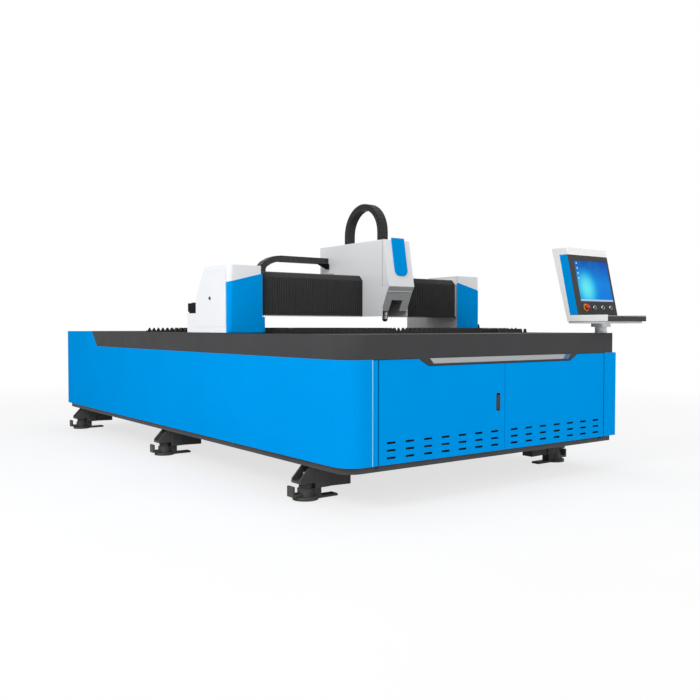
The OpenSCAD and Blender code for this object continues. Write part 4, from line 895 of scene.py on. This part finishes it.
def head_rings():
    """Nut over the nozzle and collars round the cutting head, from (radius, foot, height)."""
    place = (HEAD_X, GANTRY - 0.115, 0)
    edge = 0.0015
    for number, (radius, foot, height) in enumerate(COLLARS, 1):
        top = foot + height
        inside, flat, outside = radius - 0.001, radius + 0.002, radius + 0.0035
        outline = [(inside, foot), (flat, foot), (outside, foot + edge), (outside, top - edge),
                   (flat, top), (inside, top), (inside, foot)]
        ring = turned(outline, place, "Z", 48)
        settled(smooth(ring), f"head_ring_{number}", nozzle_metal if number == 1 else button_metal, "lift")


cover_locks()
rack_teeth()
rail_plugs()
fold_edge()
trim_cap()
bellows_clamp()
guard_bead()
cover_toe()
head_seam()
wiper_skirt()
cabinet_fronts()
motor_caps()
head_rings()


# Rounded edges on the sheet-metal parts

ROUND = {
    0.006: "head_cover head_front console_shell cover_left cover_right",
    0.004: "service_panels head_guard head_badge drive_motors foot_brackets foot_pads keyboard_tray trim_bar",
    0.003: "door_left door_right side_panel_right rear_panel guard_band cover_fronts console_box"
           " console_panel carriage_motors chain_bracket chain_tray",
    0.002: "handle_tray handle_lever console_base console_post cutting_head levelling_bolts base_frame"
           " cabinets",
}
for width, names in ROUND.items():
    for name in names.split():
        item = nodes[name]
        weld = item.modifiers.new("weld", "WELD")
        weld.merge_threshold = 0.00002
        edge = item.modifiers.new("edge", "BEVEL")
        edge.width = width
        edge.segments = 2
        edge.limit_method = "ANGLE"
        edge.angle_limit = math.radians(35)


# Studio


def plain_sight(tree):
    """Share of rays that show the backdrop as it is: from the camera, off gloss or through glass."""
    rays = tree.nodes.new("ShaderNodeLightPath")
    seen = rays.outputs["Is Camera Ray"]
    for kind in ("Is Glossy Ray", "Is Transmission Ray"):
        either = tree.nodes.new("ShaderNodeMath")
        either.operation = "MAXIMUM"
        tree.links.new(seen, either.inputs[0])
        tree.links.new(rays.outputs[kind], either.inputs[1])
        seen = either.outputs[0]
    return seen


def studio_floor():
    """Pale floor that keeps the part's shadow and fades to white further out."""
    bpy.ops.object.select_all(action="DESELECT")
    bpy.ops.mesh.primitive_plane_add(size=80.0, location=(0, 0, 0))
    floor = bpy.context.object
    floor.name = "studio_floor"
    made = Finish("studio_floor")
    made.shader.inputs["Roughness"].default_value = 0.9
    made.base(made.ramp(made.noise(1.5), (0.3, (0.86, 0.86, 0.86, 1)), (0.7, (0.9, 0.9, 0.9, 1))))
    glow = made.add("ShaderNodeEmission")
    distance = made.add("ShaderNodeVectorMath", operation="LENGTH")
    made.link(made.place, distance.inputs[0])
    far = made.spread(distance.outputs["Value"], 0.72, 1.0, 2.5, 8.0)
    seen = made.add("ShaderNodeMath", operation="MULTIPLY")
    made.link(plain_sight(made.tree), seen.inputs[0])
    made.link(far, seen.inputs[1])
    mix = made.add("ShaderNodeMixShader")
    made.link(seen.outputs[0], mix.inputs[0])
    made.link(made.shader.outputs[0], mix.inputs[1])
    made.link(glow.outputs[0], mix.inputs[2])
    made.link(mix.outputs[0], made.tree.nodes["Material Output"].inputs["Surface"])
    floor.data.materials.append(made.material)


def studio_world():
    """Even white light, at full strength only where the background itself is seen."""
    world = bpy.data.worlds.new("studio_world")
    scene.world = world
    world.use_nodes = True
    tree = world.node_tree
    background = tree.nodes["Background"]
    background.inputs["Color"].default_value = (1, 1, 1, 1)
    background.inputs["Strength"].default_value = 0.5
    white = tree.nodes.new("ShaderNodeBackground")
    white.inputs["Color"].default_value = (1, 1, 1, 1)
    white.inputs["Strength"].default_value = 1.0
    mix = tree.nodes.new("ShaderNodeMixShader")
    tree.links.new(plain_sight(tree), mix.inputs[0])
    tree.links.new(background.outputs[0], mix.inputs[1])
    tree.links.new(white.outputs[0], mix.inputs[2])
    tree.links.new(mix.outputs[0], tree.nodes["World Output"].inputs["Surface"])


def soft_lamp(name, place, aim, size, power):
    lamp = bpy.data.lights.new(name, "AREA")
    lamp.shape = "DISK"
    lamp.size = size
    lamp.energy = power
    made = bpy.data.objects.new(name, lamp)
    scene.collection.objects.link(made)
    made.location = place
    made.rotation_euler = (Vector(aim) - Vector(place)).to_track_quat("-Z", "Y").to_euler()


studio_floor()
studio_world()
soft_lamp("key_left", (-7.0, -3.0, 5.5), (0, -0.3, 0.8), 4.0, 300)
soft_lamp("fill_front", (1.5, -8.5, 4.0), (0, -0.5, 0.7), 5.0, 140)
soft_lamp("top", (0.5, 0.0, 7.0), (0, 0, 0), 5.0, 130)

CAMERA_DOWN = math.radians(1.667)
CAMERA_TURN = math.radians(36.467)
camera = bpy.data.objects.new("camera", bpy.data.cameras.new("camera"))
scene.collection.objects.link(camera)
camera.data.lens = 40.865
camera.data.sensor_width = 36.0
camera.location = (-3.574, -5.775, 0.985)
camera.rotation_euler = (QUARTER - CAMERA_DOWN, 0, -CAMERA_TURN)
scene.camera = camera
